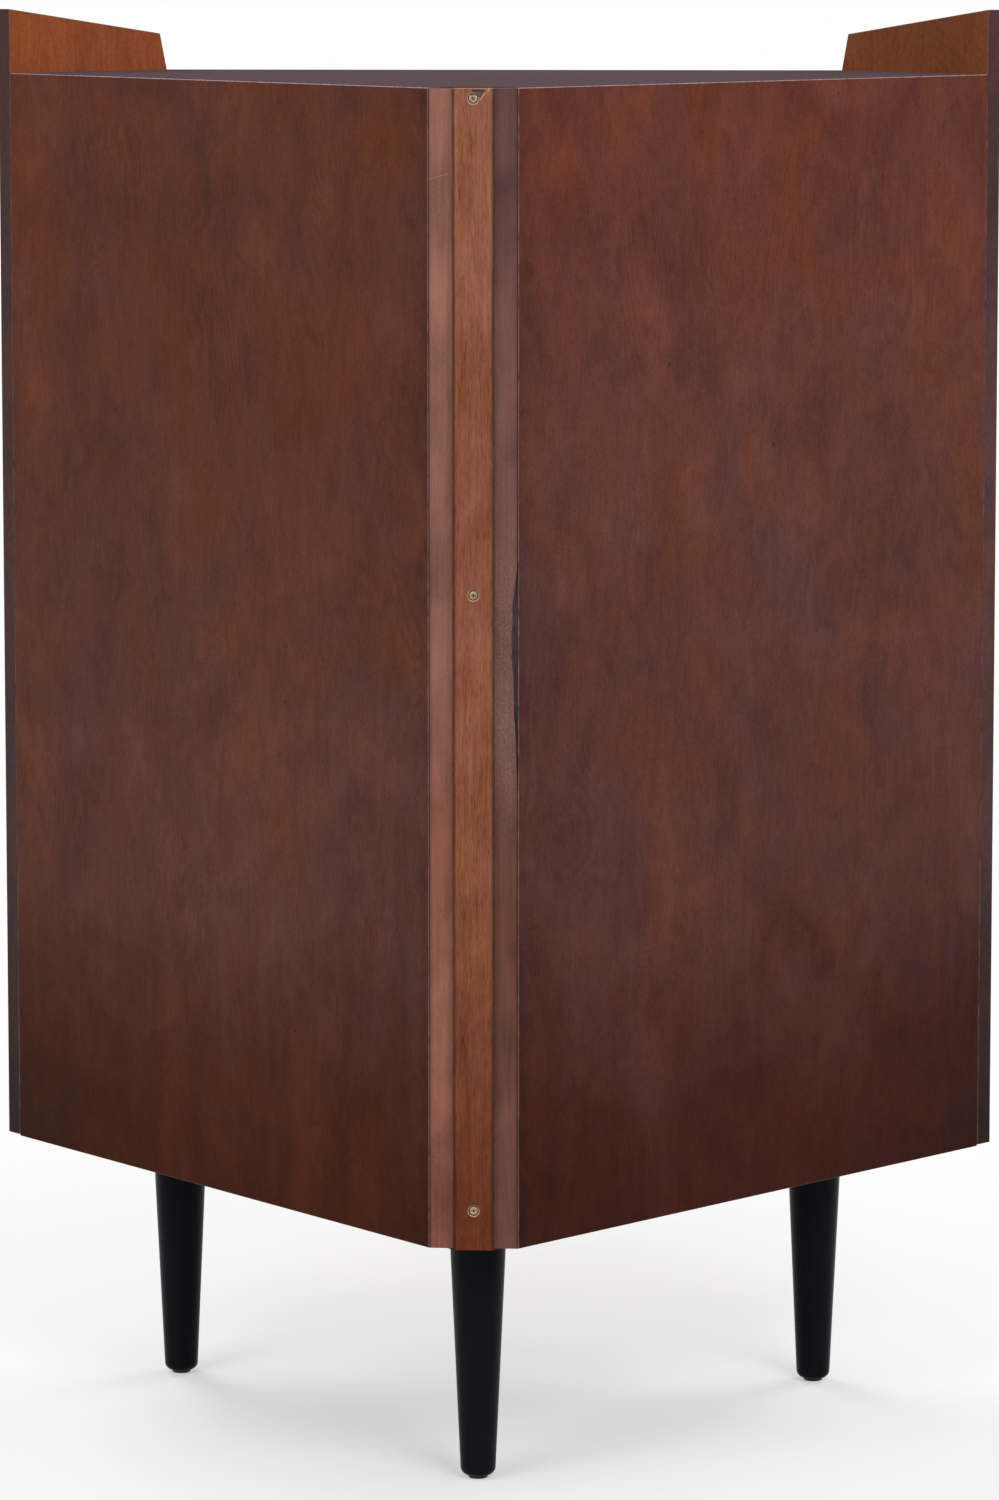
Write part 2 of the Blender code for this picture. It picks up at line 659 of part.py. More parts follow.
def make_knob(word, side, door, pivot):
    """A turned knob near the meeting edge, held by a screw through the door."""
    x = side * (DOOR_MEETING_X + KNOB_INSET - HINGE_X)
    front = HINGE_SETBACK - FRONT_SETBACK
    rear = front + DOOR_THICKNESS
    knob = turned_mesh(word + "_knob", knob_profile(), KNOB_FACETS)
    add_part(word + "_knob", knob, "aged_brass", (x, front, KNOB_HEIGHT), aim((0, -1, 0)), pivot)
    screw = turned_mesh(word + "_knob_screw", knob_screw_profile(), PIN_FACETS)
    place = (x, rear + GAP, KNOB_HEIGHT)
    add_part(word + "_knob_screw", screw, "zinc_steel", place, aim((0, 1, 0)), pivot)
    bore = KNOB_SCREW_RADIUS + GAP
    profile = [
        (0, CUT_OVERRUN),
        (bore, CUT_OVERRUN),
        (bore, -DOOR_THICKNESS - CUT_OVERRUN),
        (0, -DOOR_THICKNESS - CUT_OVERRUN),
    ]
    hole = turned_mesh(word + "_knob_hole", profile, PIN_FACETS)
    place = (x, rear, KNOB_HEIGHT)
    cut(door, add_cutter(word + "_knob_hole", hole, place, aim((0, 1, 0)), pivot))


def make_catch(word, side, pivot):
    """A magnetic catch under the top, which stops the door, and the strike it holds."""
    catch_x = side * (DOOR_MEETING_X + CATCH_OFFSET)
    catch_top = TOP_UNDERSIDE - GAP
    low = (catch_x - CATCH_WIDTH / 2, CORNER_Y - CATCH_FRONT_SETBACK, catch_top - CATCH_HEIGHT)
    high = (catch_x + CATCH_WIDTH / 2, CORNER_Y - CATCH_REAR_SETBACK, catch_top)
    name = word + "_magnetic_catch"
    add_part(name, box_mesh(name, low, high), "black_nylon")
    strike_x = catch_x - side * HINGE_X
    strike_z = catch_top - CATCH_HEIGHT / 2
    strike_y = HINGE_SETBACK - DOOR_REAR_SETBACK + GAP
    low = (strike_x - STRIKE_WIDTH / 2, strike_y, strike_z - STRIKE_HEIGHT / 2)
    high = (strike_x + STRIKE_WIDTH / 2, strike_y + STRIKE_THICKNESS, strike_z + STRIKE_HEIGHT / 2)
    name = word + "_strike_plate"
    add_part(name, box_mesh(name, low, high), "zinc_steel", parent=pivot)


def make_front(word, side):
    """One stile with its door, hinges, knob and catch."""
    stile = make_stile(word, side)
    pivot = add_pivot(word + "_door_axis", (*in_plan(side * HINGE_X, HINGE_SETBACK), 0))
    door = make_door(word, side, pivot)
    inset = HINGE_END_OFFSET + HINGE_HEIGHT / 2
    make_hinge(word, side, "upper", DOOR_HEAD - inset, stile, door, pivot)
    make_hinge(word, side, "lower", DOOR_FOOT + inset, stile, door, pivot)
    make_knob(word, side, door, pivot)
    make_catch(word, side, pivot)


def leg_profile():
    """A tapered leg with a bolt bore down its top and a glide bore up its foot."""
    bore = LEG_BOLT_RADIUS + GAP
    bore_foot = LEG_TOP - LEG_BOLT_GRIP - LEG_BORE_SPARE
    glide_bore = GLIDE_PIN_RADIUS + GAP
    glide_top = LEG_FOOT + GLIDE_PIN_LENGTH + GAP
    centre = (LEG_FOOT_RADIUS - LEG_FOOT_ROUND, LEG_FOOT + LEG_FOOT_ROUND)
    foot = arc(centre, LEG_FOOT_ROUND, 0, -QUARTER_TURN, 4)
    inner = [(0, bore_foot), (bore, bore_foot), (bore, LEG_TOP), (LEG_TOP_RADIUS, LEG_TOP)]
    return inner + foot + [(glide_bore, LEG_FOOT), (glide_bore, glide_top), (0, glide_top)]


def glide_profile():
    pin_top = GLIDE_THICKNESS + GLIDE_PIN_LENGTH
    return [
        (0, pin_top),
        (GLIDE_PIN_RADIUS, pin_top),
        (GLIDE_PIN_RADIUS, GLIDE_THICKNESS),
        (GLIDE_RADIUS, GLIDE_THICKNESS),
        (GLIDE_RADIUS, GLIDE_EDGE),
        (GLIDE_RADIUS - GLIDE_EDGE, 0),
        (0, 0),
    ]


def make_leg(word, x, setback, turn, bottom_panel):
    """A leg hung by a bolt from a plate under the bottom panel, on a small glide."""
    place = (*in_plan(x, setback), 0)
    leg = turned_mesh(word + "_leg", leg_profile(), LEG_FACETS)
    add_part(word + "_leg", leg, "black_lacquer", place)
    glide = turned_mesh(word + "_glide", glide_profile(), SMALL_FACETS)
    add_part(word + "_glide", glide, "black_nylon", place)
    bolt_top = LEG_PLATE_TOP + LEG_BOLT_RISE
    bolt_foot = LEG_TOP - LEG_BOLT_GRIP
    bolt = [(0, bolt_top), (LEG_BOLT_RADIUS, bolt_top), (LEG_BOLT_RADIUS, bolt_foot), (0, bolt_foot)]
    bolt_mesh = turned_mesh(word + "_leg_bolt", bolt, PIN_FACETS)
    add_part(word + "_leg_bolt", bolt_mesh, "zinc_steel", place)
    half = LEG_PLATE_SIDE / 2
    plate_foot = LEG_PLATE_TOP - LEG_PLATE_THICKNESS
    plate_mesh = box_mesh(word + "_leg_plate", (-half, -half, plate_foot), (half, half, LEG_PLATE_TOP))
    plate = add_part(word + "_leg_plate", plate_mesh, "zinc_steel", place, (0, 0, turn))
    cut(plate, bolt_hole(word + "_plate_hole", LEG_BOLT_RADIUS + GAP, place))
    cut(bottom_panel, bolt_hole(word + "_panel_hole", LEG_BOLT_RADIUS + PANEL_BOLT_CLEARANCE, place))


def bolt_hole(name, radius, place):
    """A cutter right through the plate and the bottom panel."""
    top = BOTTOM_TOP + CUT_OVERRUN
    foot = LEG_TOP - CUT_OVERRUN
    profile = [(0, top), (radius, top), (radius, foot), (0, foot)]
    return add_cutter(name, turned_mesh(name, profile, SMALL_FACETS), place)


def make_legs(bottom_panel):
    make_leg("rear", 0, REAR_LEG_SETBACK, WALL_TURN, bottom_panel)
    make_leg("right_front", FRONT_LEG_SPREAD, FRONT_LEG_SETBACK, 0, bottom_panel)
    make_leg("left_front", -FRONT_LEG_SPREAD, FRONT_LEG_SETBACK, 0, bottom_panel)


def make_glass_rails():
    """T-shaped rails under the top. Glasses hang by their feet between the flanges."""
    web = GLASS_RAIL_WEB / 2
    flange_top = GLASS_RAIL_FLANGE - GLASS_RAIL_DROP
    half = [(web, 0), (web, flange_top)]
    half += [(GLASS_RAIL_FLANGE_HALF, flange_top), (GLASS_RAIL_FLANGE_HALF, -GLASS_RAIL_DROP)]
    outline = mirrored_outline(half)
    length = GLASS_RAIL_FRONT_SETBACK - GLASS_RAIL_REAR_SETBACK
    middle_y = CORNER_Y - GLASS_RAIL_FRONT_SETBACK + length / 2
    for index in range(GLASS_RAIL_COUNT):
        name = f"glass_rail_{index + 1}"
        x = (index - (GLASS_RAIL_COUNT - 1) / 2) * GLASS_RAIL_PITCH
        mesh = outline_mesh(name, [outline], length)
        add_part(name, mesh, "board_veneer", (x, middle_y, TOP_UNDERSIDE - GAP), (QUARTER_TURN, 0, 0))


def cradle_outline(height, radius):
    """An upright board with a scallop for each bottle, about the height of the bottle's axis."""
    dip = math.asin((BOTTLE_AXIS_RISE - height) / radius)
    end = CRADLE_HALF_LENGTH
    points = [(-end, GAP), (end, GAP), (end, height)]
    for bay in reversed(range(BOTTLE_BAYS)):
        x = (bay - (BOTTLE_BAYS - 1) / 2) * BOTTLE_PITCH
        points += arc((x, BOTTLE_AXIS_RISE), radius, -dip, dip - math.pi, SCALLOP_STEPS)
    return points + [(-end, height)]


def make_cradles():
    """Two scalloped boards on the adjustable shelf, for bottles lying with their necks to the rear."""
    cradles = {
        "front": (FRONT_CRADLE_HEIGHT, BOTTLE_BODY_RADIUS, FRONT_CRADLE_SETBACK),
        "rear": (REAR_CRADLE_HEIGHT, BOTTLE_NECK_RADIUS, REAR_CRADLE_SETBACK),
    }
    for word, (height, bottle_radius, setback) in cradles.items():
        name = word + "_bottle_cradle"
        outline = cradle_outline(height, bottle_radius + BOTTLE_CLEARANCE)
        mesh = outline_mesh(name, [outline], CRADLE_THICKNESS)
        place = (*in_plan(0, setback), LOOSE_SHELF_TOP)
        add_part(name, mesh, "board_veneer", place, (QUARTER_TURN, 0, 0))


def shelf_pin_profile():
    """A collared peg. Height zero is at the panel's face and the peg's seat is below it."""
    return [
        (0, SHELF_PIN_REACH),
        (SHELF_PIN_RADIUS, SHELF_PIN_REACH),
        (SHELF_PIN_RADIUS, GAP + SHELF_PIN_COLLAR),
        (SHELF_PIN_COLLAR_RADIUS, GAP + SHELF_PIN_COLLAR),
        (SHELF_PIN_COLLAR_RADIUS, GAP),
        (SHELF_PIN_RADIUS, GAP),
        (SHELF_PIN_RADIUS, -SHELF_PIN_SEAT),
        (0, -SHELF_PIN_SEAT),
    ]


def make_shelf_pin(name, panel, plan_place, direction):
    """A peg in its hole, just under the adjustable shelf."""
    collar_rise = SHELF_PIN_COLLAR_RADIUS + GAP
    place = (*plan_place, LOOSE_SHELF_UNDERSIDE - collar_rise)
    turn = aim(direction)
    mesh = turned_mesh(name, shelf_pin_profile(), PIN_FACETS)
    add_part(name, mesh, "zinc_steel", place, turn)
    bore = SHELF_PIN_RADIUS + GAP
    profile = [
        (0, CUT_OVERRUN),
        (bore, CUT_OVERRUN),
        (bore, -SHELF_PIN_SEAT - GAP),
        (0, -SHELF_PIN_SEAT - GAP),
    ]
    hole = turned_mesh(name + "_hole", profile, PIN_FACETS)
    cut(panel, add_cutter(name + "_hole", hole, place, turn))


def make_flank(word, side):
    """One back panel and side panel, with the pegs that carry the adjustable shelf."""
    back = make_back_panel(word, side)
    flank = make_side_panel(word, side)
    wall_place = on_wall(side, WALL_PIN_RUN, BACK_THICKNESS)
    make_shelf_pin(word + "_rear_shelf_pin", back, wall_place, into_case(side))
    side_place = on_wall(side, WALL_RUN, SIDE_PIN_DEPTH)
    make_shelf_pin(word + "_front_shelf_pin", flank, side_place, -along_wall(side))


def main():
    clear_scene()
    new_collection("corner_bar_cabinet")
    new_collection("cutters")
    boards = make_boards()
    post = make_post()
    make_post_screws(post, boards)
    for word, side in SIDES.items():
        make_flank(word, side)
        make_front(word, side)
    make_front_rail()
    make_legs(boards["bottom"])
    make_glass_rails()
    make_cradles()


main()
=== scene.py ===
"""Looks of the corner bar cabinet: stained veneer, raw mitred edges, a thinly stained rear post with
sunk screws, turned black legs, aged brass and zinc plate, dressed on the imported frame.

Metres. +X is to the right of someone facing the doors, +Y points to the room's corner, +Z is up.
"""

import math

import bmesh
import bpy
from mathutils import Matrix, Vector


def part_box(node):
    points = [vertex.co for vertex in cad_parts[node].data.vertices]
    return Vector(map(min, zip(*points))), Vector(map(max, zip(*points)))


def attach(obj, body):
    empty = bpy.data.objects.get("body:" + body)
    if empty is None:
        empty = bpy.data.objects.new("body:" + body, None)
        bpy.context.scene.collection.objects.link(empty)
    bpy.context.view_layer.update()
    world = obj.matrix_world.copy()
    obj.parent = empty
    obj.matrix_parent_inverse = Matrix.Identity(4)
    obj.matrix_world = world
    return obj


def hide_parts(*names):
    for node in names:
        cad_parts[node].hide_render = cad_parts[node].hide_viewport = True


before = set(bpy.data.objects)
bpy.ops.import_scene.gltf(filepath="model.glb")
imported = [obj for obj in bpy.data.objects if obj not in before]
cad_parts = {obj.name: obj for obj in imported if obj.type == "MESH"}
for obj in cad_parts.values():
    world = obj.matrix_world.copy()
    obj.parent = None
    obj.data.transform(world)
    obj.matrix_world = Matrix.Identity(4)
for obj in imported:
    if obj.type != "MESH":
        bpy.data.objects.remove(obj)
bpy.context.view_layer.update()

# Camera, behind the cabinet's rear corner
FRAME_HEIGHT_PX = 1500
FOCAL_PX = 5371.9
SENSOR_WIDTH = 36.0
RISE_SHARE = -0.17
CAMERA_X = -0.2105
CAMERA_BEHIND_CORNER = 3.9587
CAMERA_HEIGHT = 1.2016
CAMERA_YAW = 0.04776
CAMERA_PITCH = 0.10693
CAMERA_REACH = 100
REAR_FLAT_SETBACK = 0.0341

# Stage
FLOOR_RADIUS = 40.0
SHADOW_REACH = 0.7
WHITE_REACH = 2.0
NEAR_WHITE_SHARE = 0.40
LIGHT_SIZE = (1.6, 1.2)
AMBIENT = 0.50

# Geometry shared by several pieces
RIGHT = 1
LEFT = -1
SIDES = {"right": RIGHT, "left": LEFT}
LEGS = ("rear", "right_front", "left_front")
POST_LEVELS = ("top", "middle", "bottom")
DOWN = Vector((0, 0, -1))
REARWARD = Vector((0, 1, 0))
WALL_NORMAL = math.sqrt(0.5)
QUARTER = math.pi / 2
MERGE_GAP = 0.00001
FLAT_ANGLE = math.radians(1)
CORNER_ANGLE = math.radians(35)
RIM_ANGLE = math.radians(60)
SQUARE_ON = 0.9
SHORTEST_EASED = 0.0036
BOARD_ARRIS = 0.0005
DOOR_ARRIS = 0.0003
POST_ARRIS = 0.0005
BAR_ARRIS = 0.0006
PLATE_ARRIS = 0.0004
LEAF_ARRIS = 0.0002
ROUNDED = {"offset_type": "OFFSET", "segments": 2, "profile": 0.5, "affect": "EDGES"}
TURNED_FACETS = 64
WELL_FACETS = 48
SMALL_FACETS = 40

# Screws through the post
POST_SCREW_RADIUS = 0.0032
POST_SCREW_SINK = 0.0010
POST_SCREW_LENGTH = 0.0500
WELL_RADIUS = 0.0039
WELL_DEPTH = 0.0016
WELL_LIP = 0.0008

# A screw's head and cross, as shares of the head's radius, and the small screws
HEAD_SHARES = ((0, 0.10), (0.45, 0.085), (0.80, 0.03), (0.95, -0.02), (1.0, -0.12), (0.96, -0.20))
SHANK_SHARE = 0.50
NECK_SHARE = 0.68
CROSS_ARM_SHARE = 0.135
CROSS_REACH_SHARE = 0.60
CROSS_DEPTH_SHARE = 0.62
CROSS_RISE_SHARE = 0.3
CROSS_TAPER_SHARE = 0.42
SHORT_SCREW_SHARE = 1.6
LEAF_SCREW_RADIUS = 0.0027
PLATE_SCREW_RADIUS = 0.0035
CATCH_SCREW_RADIUS = 0.0028
STRIKE_SCREW_RADIUS = 0.0022
SCREW_CLEARANCE = 0.0001
SCREW_SEED = 7

# Chip in the post's top edge and wane along the left back panel's rear arris
CHIP_OUTLINE = (
    (0.0012, -0.0010), (0.0004, -0.0022), (-0.0022, -0.0030), (-0.0040, -0.0062),
    (-0.0058, -0.0066), (-0.0066, -0.0040), (-0.0078, -0.0022), (-0.0084, -0.0010),
)
CHIP_DEPTH = 0.0012
SPLINTER_OUTLINE = (
    (-0.0122, 0.0010), (-0.0094, -0.0022), (-0.0066, -0.0050), (-0.0046, -0.0084),
    (-0.0056, -0.0090), (-0.0080, -0.0054), (-0.0108, -0.0028), (-0.0142, 0.0010),
)
SPLINTER_DEPTH = 0.0005
WANE_FOOT = 0.548
WANE_HEAD = 0.724
WANE_INSET = 0.0006
WANE_WIDTH = 0.0046
WANE_DEPTH = 0.0014
WANE_SWELL_SHARES = (
    (0.0, 0.0), (0.20, 0.36), (0.38, 0.66), (0.52, 0.92),
    (0.70, 1.0), (0.81, 0.92), (0.87, 0.48), (1.0, 0.0),
)
WANE_STEPS = 28
CUT_OVERRUN = 0.002

# Crease across the right back panel's raw edge
CREASE_HEIGHT = 1.0085
CREASE_SLOPE = 0.36

# Legs, their plates and glides
LEG_FOOT_RADIUS = 0.0134
LEG_FOOT_ROUND = 0.0055
LEG_RINGS = 72
LEG_RING_CROWDING = 2.4
LEG_PLATE_CORNER = 0.006
LEG_PLATE_SCREW_SPREAD = 0.0215
GLIDE_THICKNESS = 0.002
GLIDE_PIN_RADIUS = 0.0013
GLIDE_ROUND = 0.0006

# Door furniture
KNOB_SHARES = (
    (0.00, 1.00), (0.22, 0.995), (0.42, 0.98), (0.60, 0.95), (0.76, 0.91), (0.88, 0.855),
    (0.96, 0.79), (1.00, 0.72), (1.00, 0.66), (0.96, 0.60), (0.88, 0.54), (0.74, 0.49),
    (0.58, 0.44), (0.46, 0.38), (0.40, 0.32), (0.37, 0.25), (0.38, 0.18), (0.43, 0.10),
    (0.54, 0.045), (0.56, 0.03), (0.56, 0.00), (0.00, 0.00),
)
KNOB_SCREW_RADIUS = 0.0020
KNOB_SCREW_HEAD_RADIUS = 0.0040
KNOB_SCREW_HEAD_HEIGHT = 0.0022
KNOB_SCREW_ROUND = 0.0012
KNOB_CROSS_ARM = 0.00045
KNOB_CROSS_REACH = 0.0020
KNOB_CROSS_FLOOR = 0.0008
KNOB_CROSS_HEAD = 0.0060
KNOB_SCREW_TURN = 0.4
LEAF_SCREW_SHARES = (0.16, 0.5, 0.84)
LEAF_SCREW_OFFSET = 0.0030
LEAF_SCREW_SINK = 0.0003
PIN_RADIUS = 0.00125
PIN_HEAD_RADIUS = 0.0024
PIN_HEAD_HEIGHT = 0.0014
PIN_ROUND = 0.0006
CATCH_BLOCK_WIDTH = 0.026
CATCH_CORNER = 0.0012
EAR_DEPTH_SHARE = 0.8
EAR_THICKNESS = 0.0030
EAR_CORNER = 0.003
EAR_SCREW_SPREAD = 0.0163
POLE_WIDTH = 0.020
POLE_THICKNESS = 0.0018
POLE_LENGTH = 0.004
POLE_CORNER = 0.0004
POLE_STAND = 0.00012
POLE_DROP = 0.0012
POLE_SPREAD = 0.0036
STRIKE_CORNER = 0.0016

# Inside: bottles that lie on the cradles, glass rails and shelf pins
BOTTLE_BAYS = 4
BOTTLE_PITCH = 0.095
BOTTLE_AXIS_RISE = 0.048
BODY_SCALLOP = 0.041
NECK_SCALLOP = 0.018
SCALLOP_STEPS = 28
RAIL_SCREW_SHARES = (0.12, 0.88)
SHELF_PIN_RADIUS = 0.0025
COLLAR_RADIUS = 0.0040
COLLAR_FOOT = 0.0083
COLLAR_HEAD = 0.0095
SHELF_PIN_ROUND = 0.0004


def paint(red, green, blue):
    return (red, green, blue, 1.0)


def stops(*rows):
    """A ramp's colour stops from rows of position, red, green and blue."""
    return [(position, paint(*colour)) for position, *colour in rows]


# Node trees


class Value:
    """A number or vector in a node tree. Sums and products of it build the nodes."""

    def __init__(self, tree, socket):
        self.tree = tree
        self.socket = socket

    def join(self, operation, *terms):
        return self.tree.node("ShaderNodeMath", {"operation": operation}, dict(enumerate(terms)))

    def __add__(self, other):
        return self.join("ADD", self, other)

    __radd__ = __add__

    def __sub__(self, other):
        return self.join("SUBTRACT", self, other)

    def __rsub__(self, other):
        return self.join("SUBTRACT", other, self)

    def __mul__(self, other):
        return self.join("MULTIPLY", self, other)

    def __pow__(self, other):
        return self.join("POWER", self, other)

    def larger(self, other):
        return self.join("MAXIMUM", self, other)

    def sine(self):
        return self.join("SINE", self)

    def climb(self, low, high):
        """0 below low, 1 above high and a smooth climb between."""
        limits = {"Value": self, "From Min": low, "From Max": high}
        return self.tree.node("ShaderNodeMapRange", {"interpolation_type": "SMOOTHSTEP"}, limits)

    def axis(self, name):
        return self.tree.node("ShaderNodeSeparateXYZ", {}, {0: self}, name)


class Tree:
    """Adds nodes to a node tree, one call a node."""

    def __init__(self, tree):
        self.nodes = tree.nodes
        self.links = tree.links

    def node(self, kind, settings, inputs, output=0):
        made = self.nodes.new(kind)
        for name, setting in settings.items():
            if name == "stops":
                self.set_stops(made.color_ramp, setting)
            else:
                setattr(made, name, setting)
        for key, given in inputs.items():
            self.feed(made.inputs[key], given)
        return Value(self, made.outputs[output])

    def feed(self, socket, given):
        if isinstance(given, Value):
            self.links.new(given.socket, socket)
        else:
            socket.default_value = given

    def set_stops(self, ramp, colours):
        while len(ramp.elements) < len(colours):
            ramp.elements.new(1.0)
        for element, (position, colour) in zip(ramp.elements, colours):
            element.position = position
            element.color = colour


class Finish(Tree):
    """One material, laid on the piece's own coordinates after a turn that brings the grain to Z."""

    def __init__(self, name, turn=(0, 0, 0), shift=(0, 0, 0), **constants):
        self.material = bpy.data.materials.new(name)
        self.material.use_nodes = True
        super().__init__(self.material.node_tree)
        self.shader = self.nodes["Principled BSDF"]
        own = self.node("ShaderNodeTexCoord", {}, {}, "Object")
        self.place = self.node("ShaderNodeMapping", {}, {"Vector": own, "Location": shift, "Rotation": turn})
        for socket, number in constants.items():
            self.shader.inputs[socket.replace("_", " ")].default_value = number

    def multiply(self, first, second):
        return self.node("ShaderNodeVectorMath", {"operation": "MULTIPLY"}, {0: first, 1: second})

    def noise(self, across, along, detail=2.0, warp=0.0):
        """Noise about zero, with so many features a metre across and along the grain."""
        place = self.multiply(self.place, (across, across, along))
        inputs = {"Vector": place, "Scale": 1.0, "Detail": detail, "Distortion": warp}
        return self.node("ShaderNodeTexNoise", {}, inputs) - 0.5

    def marks(self, across, along, size, share):
        """Small marks in a share of the cells of a stretched lattice."""
        cell = {"Vector": self.multiply(self.place, (across, across, along)), "Scale": 1.0}
        distance = self.node("ShaderNodeTexVoronoi", {}, cell, "Distance")
        lot = self.node("ShaderNodeTexVoronoi", {}, cell, "Color").axis("X")
        return (1 - distance.climb(size * 0.4, size)) * lot.climb(1 - share, 1.001 - share)

    def mix(self, share, first, second):
        return self.node("ShaderNodeMix", {"data_type": "RGBA"}, {0: share, 6: first, 7: second}, 2)

    def ramp(self, value, colours):
        return self.node("ShaderNodeValToRGB", {"stops": colours}, {0: value})

    def dim(self, colour, strength):
        return self.node("ShaderNodeVectorMath", {"operation": "SCALE"}, {0: colour, "Scale": strength})

    def relief(self, height, depth):
        bump = self.node("ShaderNodeBump", {}, {"Height": height, "Distance": depth, "Strength": 1.0})
        self.feed(self.shader.inputs["Normal"], bump)

    def wear(self, colour, roughness):
        self.feed(self.shader.inputs["Base Color"], colour)
        self.feed(self.shader.inputs["Roughness"], roughness)


UPRIGHT = (0, 0, 0)
LYING = (0, -QUARTER, 0)
# Share of the back panels' cloudy stain that boards without a change in height have
CALM = 0.55
STAIN_TONES = (0.10, 0.50, 0.90)
STAINS = {
    "brown": ((0.078, 0.0250, 0.0172), (0.134, 0.0455, 0.0325), (0.196, 0.0690, 0.0480)),
    "red": ((0.086, 0.0245, 0.0190), (0.148, 0.0460, 0.0360), (0.214, 0.0690, 0.0520)),
    # The next stain is the amber stain made brighter: painted light for the right side panel, whose inner
    # face the light falls on
    "lit_amber": ((0.190, 0.0440, 0.0120), (0.320, 0.0820, 0.0270), (0.450, 0.1350, 0.0540)),
    "amber": ((0.120, 0.0300, 0.0090), (0.205, 0.0600, 0.0220), (0.300, 0.1000, 0.0420)),
    "walnut": ((0.037, 0.0136, 0.0099), (0.060, 0.0220, 0.0160), (0.084, 0.0308, 0.0224)),
    "dark": ((0.034, 0.0170, 0.0165), (0.064, 0.0310, 0.0305), (0.100, 0.0500, 0.0490)),
}
# How the back panels' colour changes with height: the darkening and warming towards the foot is painted
# shade, the paler, greyer band half way up a painted reflection
BROWN_FALL = stops(
    (0.20, 0.44, 0.27, 0.12),
    (0.29, 0.63, 0.47, 0.31),
    (0.42, 0.94, 1.02, 1.12),
    (0.60, 0.98, 1.06, 1.18),
    (0.74, 0.95, 0.90, 0.83),
    (0.88, 0.94, 0.86, 0.77),
)
RED_FALL = stops(
    (0.20, 0.36, 0.26, 0.21),
    (0.29, 0.47, 0.39, 0.36),
    (0.42, 0.77, 0.89, 0.99),
    (0.73, 0.93, 1.08, 1.14),
    (0.88, 1.02, 1.07, 1.05),
    (1.00, 1.04, 0.95, 0.86),
)
# Changes with height for the side panels' outer ends, the back panels' raw edges and the post; the ends and
# the post darken towards the foot, painted shade
RIGHT_END_FALL = stops(
    (0.22, 0.43, 0.33, 0.33),
    (0.30, 0.66, 0.59, 0.52),
    (0.39, 1.03, 1.04, 1.08),
    (0.70, 1.16, 1.06, 0.96),
    (0.97, 1.02, 0.95, 0.92),
)
LEFT_END_FALL = stops(
    (0.22, 0.44, 0.31, 0.36),
    (0.39, 1.09, 1.00, 1.17),
    (0.62, 1.60, 1.36, 1.38),
    (0.83, 1.64, 1.36, 1.40),
    (0.96, 1.15, 0.96, 1.12),
)
RIGHT_EDGE_FALL = stops(
    (0.24, 1.03, 0.84, 0.78),
    (0.37, 1.20, 1.10, 1.01),
    (0.50, 1.01, 0.86, 0.77),
    (0.64, 0.87, 0.85, 0.83),
    (0.80, 1.01, 0.99, 0.97),
)
LEFT_EDGE_FALL = stops(
    (0.24, 1.02, 0.95, 0.86),
    (0.46, 0.78, 0.65, 0.51),
    (0.60, 1.05, 1.12, 1.14),
    (0.80, 1.03, 1.00, 0.94),
    (0.90, 0.92, 0.88, 0.86),
    (1.00, 0.66, 0.65, 0.70),
)
POST_FALL = stops(
    (0.22, 0.52, 0.37, 0.29),
    (0.49, 0.94, 0.94, 1.07),
    (0.76, 0.80, 0.76, 0.87),
    (1.00, 1.01, 1.08, 1.24),
)
POST_STAIN = stops((0.08, 0.130, 0.034, 0.010), (0.50, 0.300, 0.098, 0.045), (0.92, 0.450, 0.172, 0.092))
ROSY_OR_GOLDEN = stops((0.15, 0.97, 0.97, 1.09), (0.50, 0.98, 1.00, 0.99), (0.85, 1.02, 1.05, 0.81))
COOL_OR_WARM = stops((0.15, 0.84, 0.90, 1.00), (0.50, 0.97, 0.95, 0.89), (0.85, 1.05, 0.94, 0.68))
LACQUER_BLACKS = stops((0.2, 0.0034, 0.0030, 0.0056), (0.8, 0.0078, 0.0070, 0.0118))
NYLON_BLACKS = stops((0.2, 0.008, 0.008, 0.009), (0.8, 0.022, 0.022, 0.023))


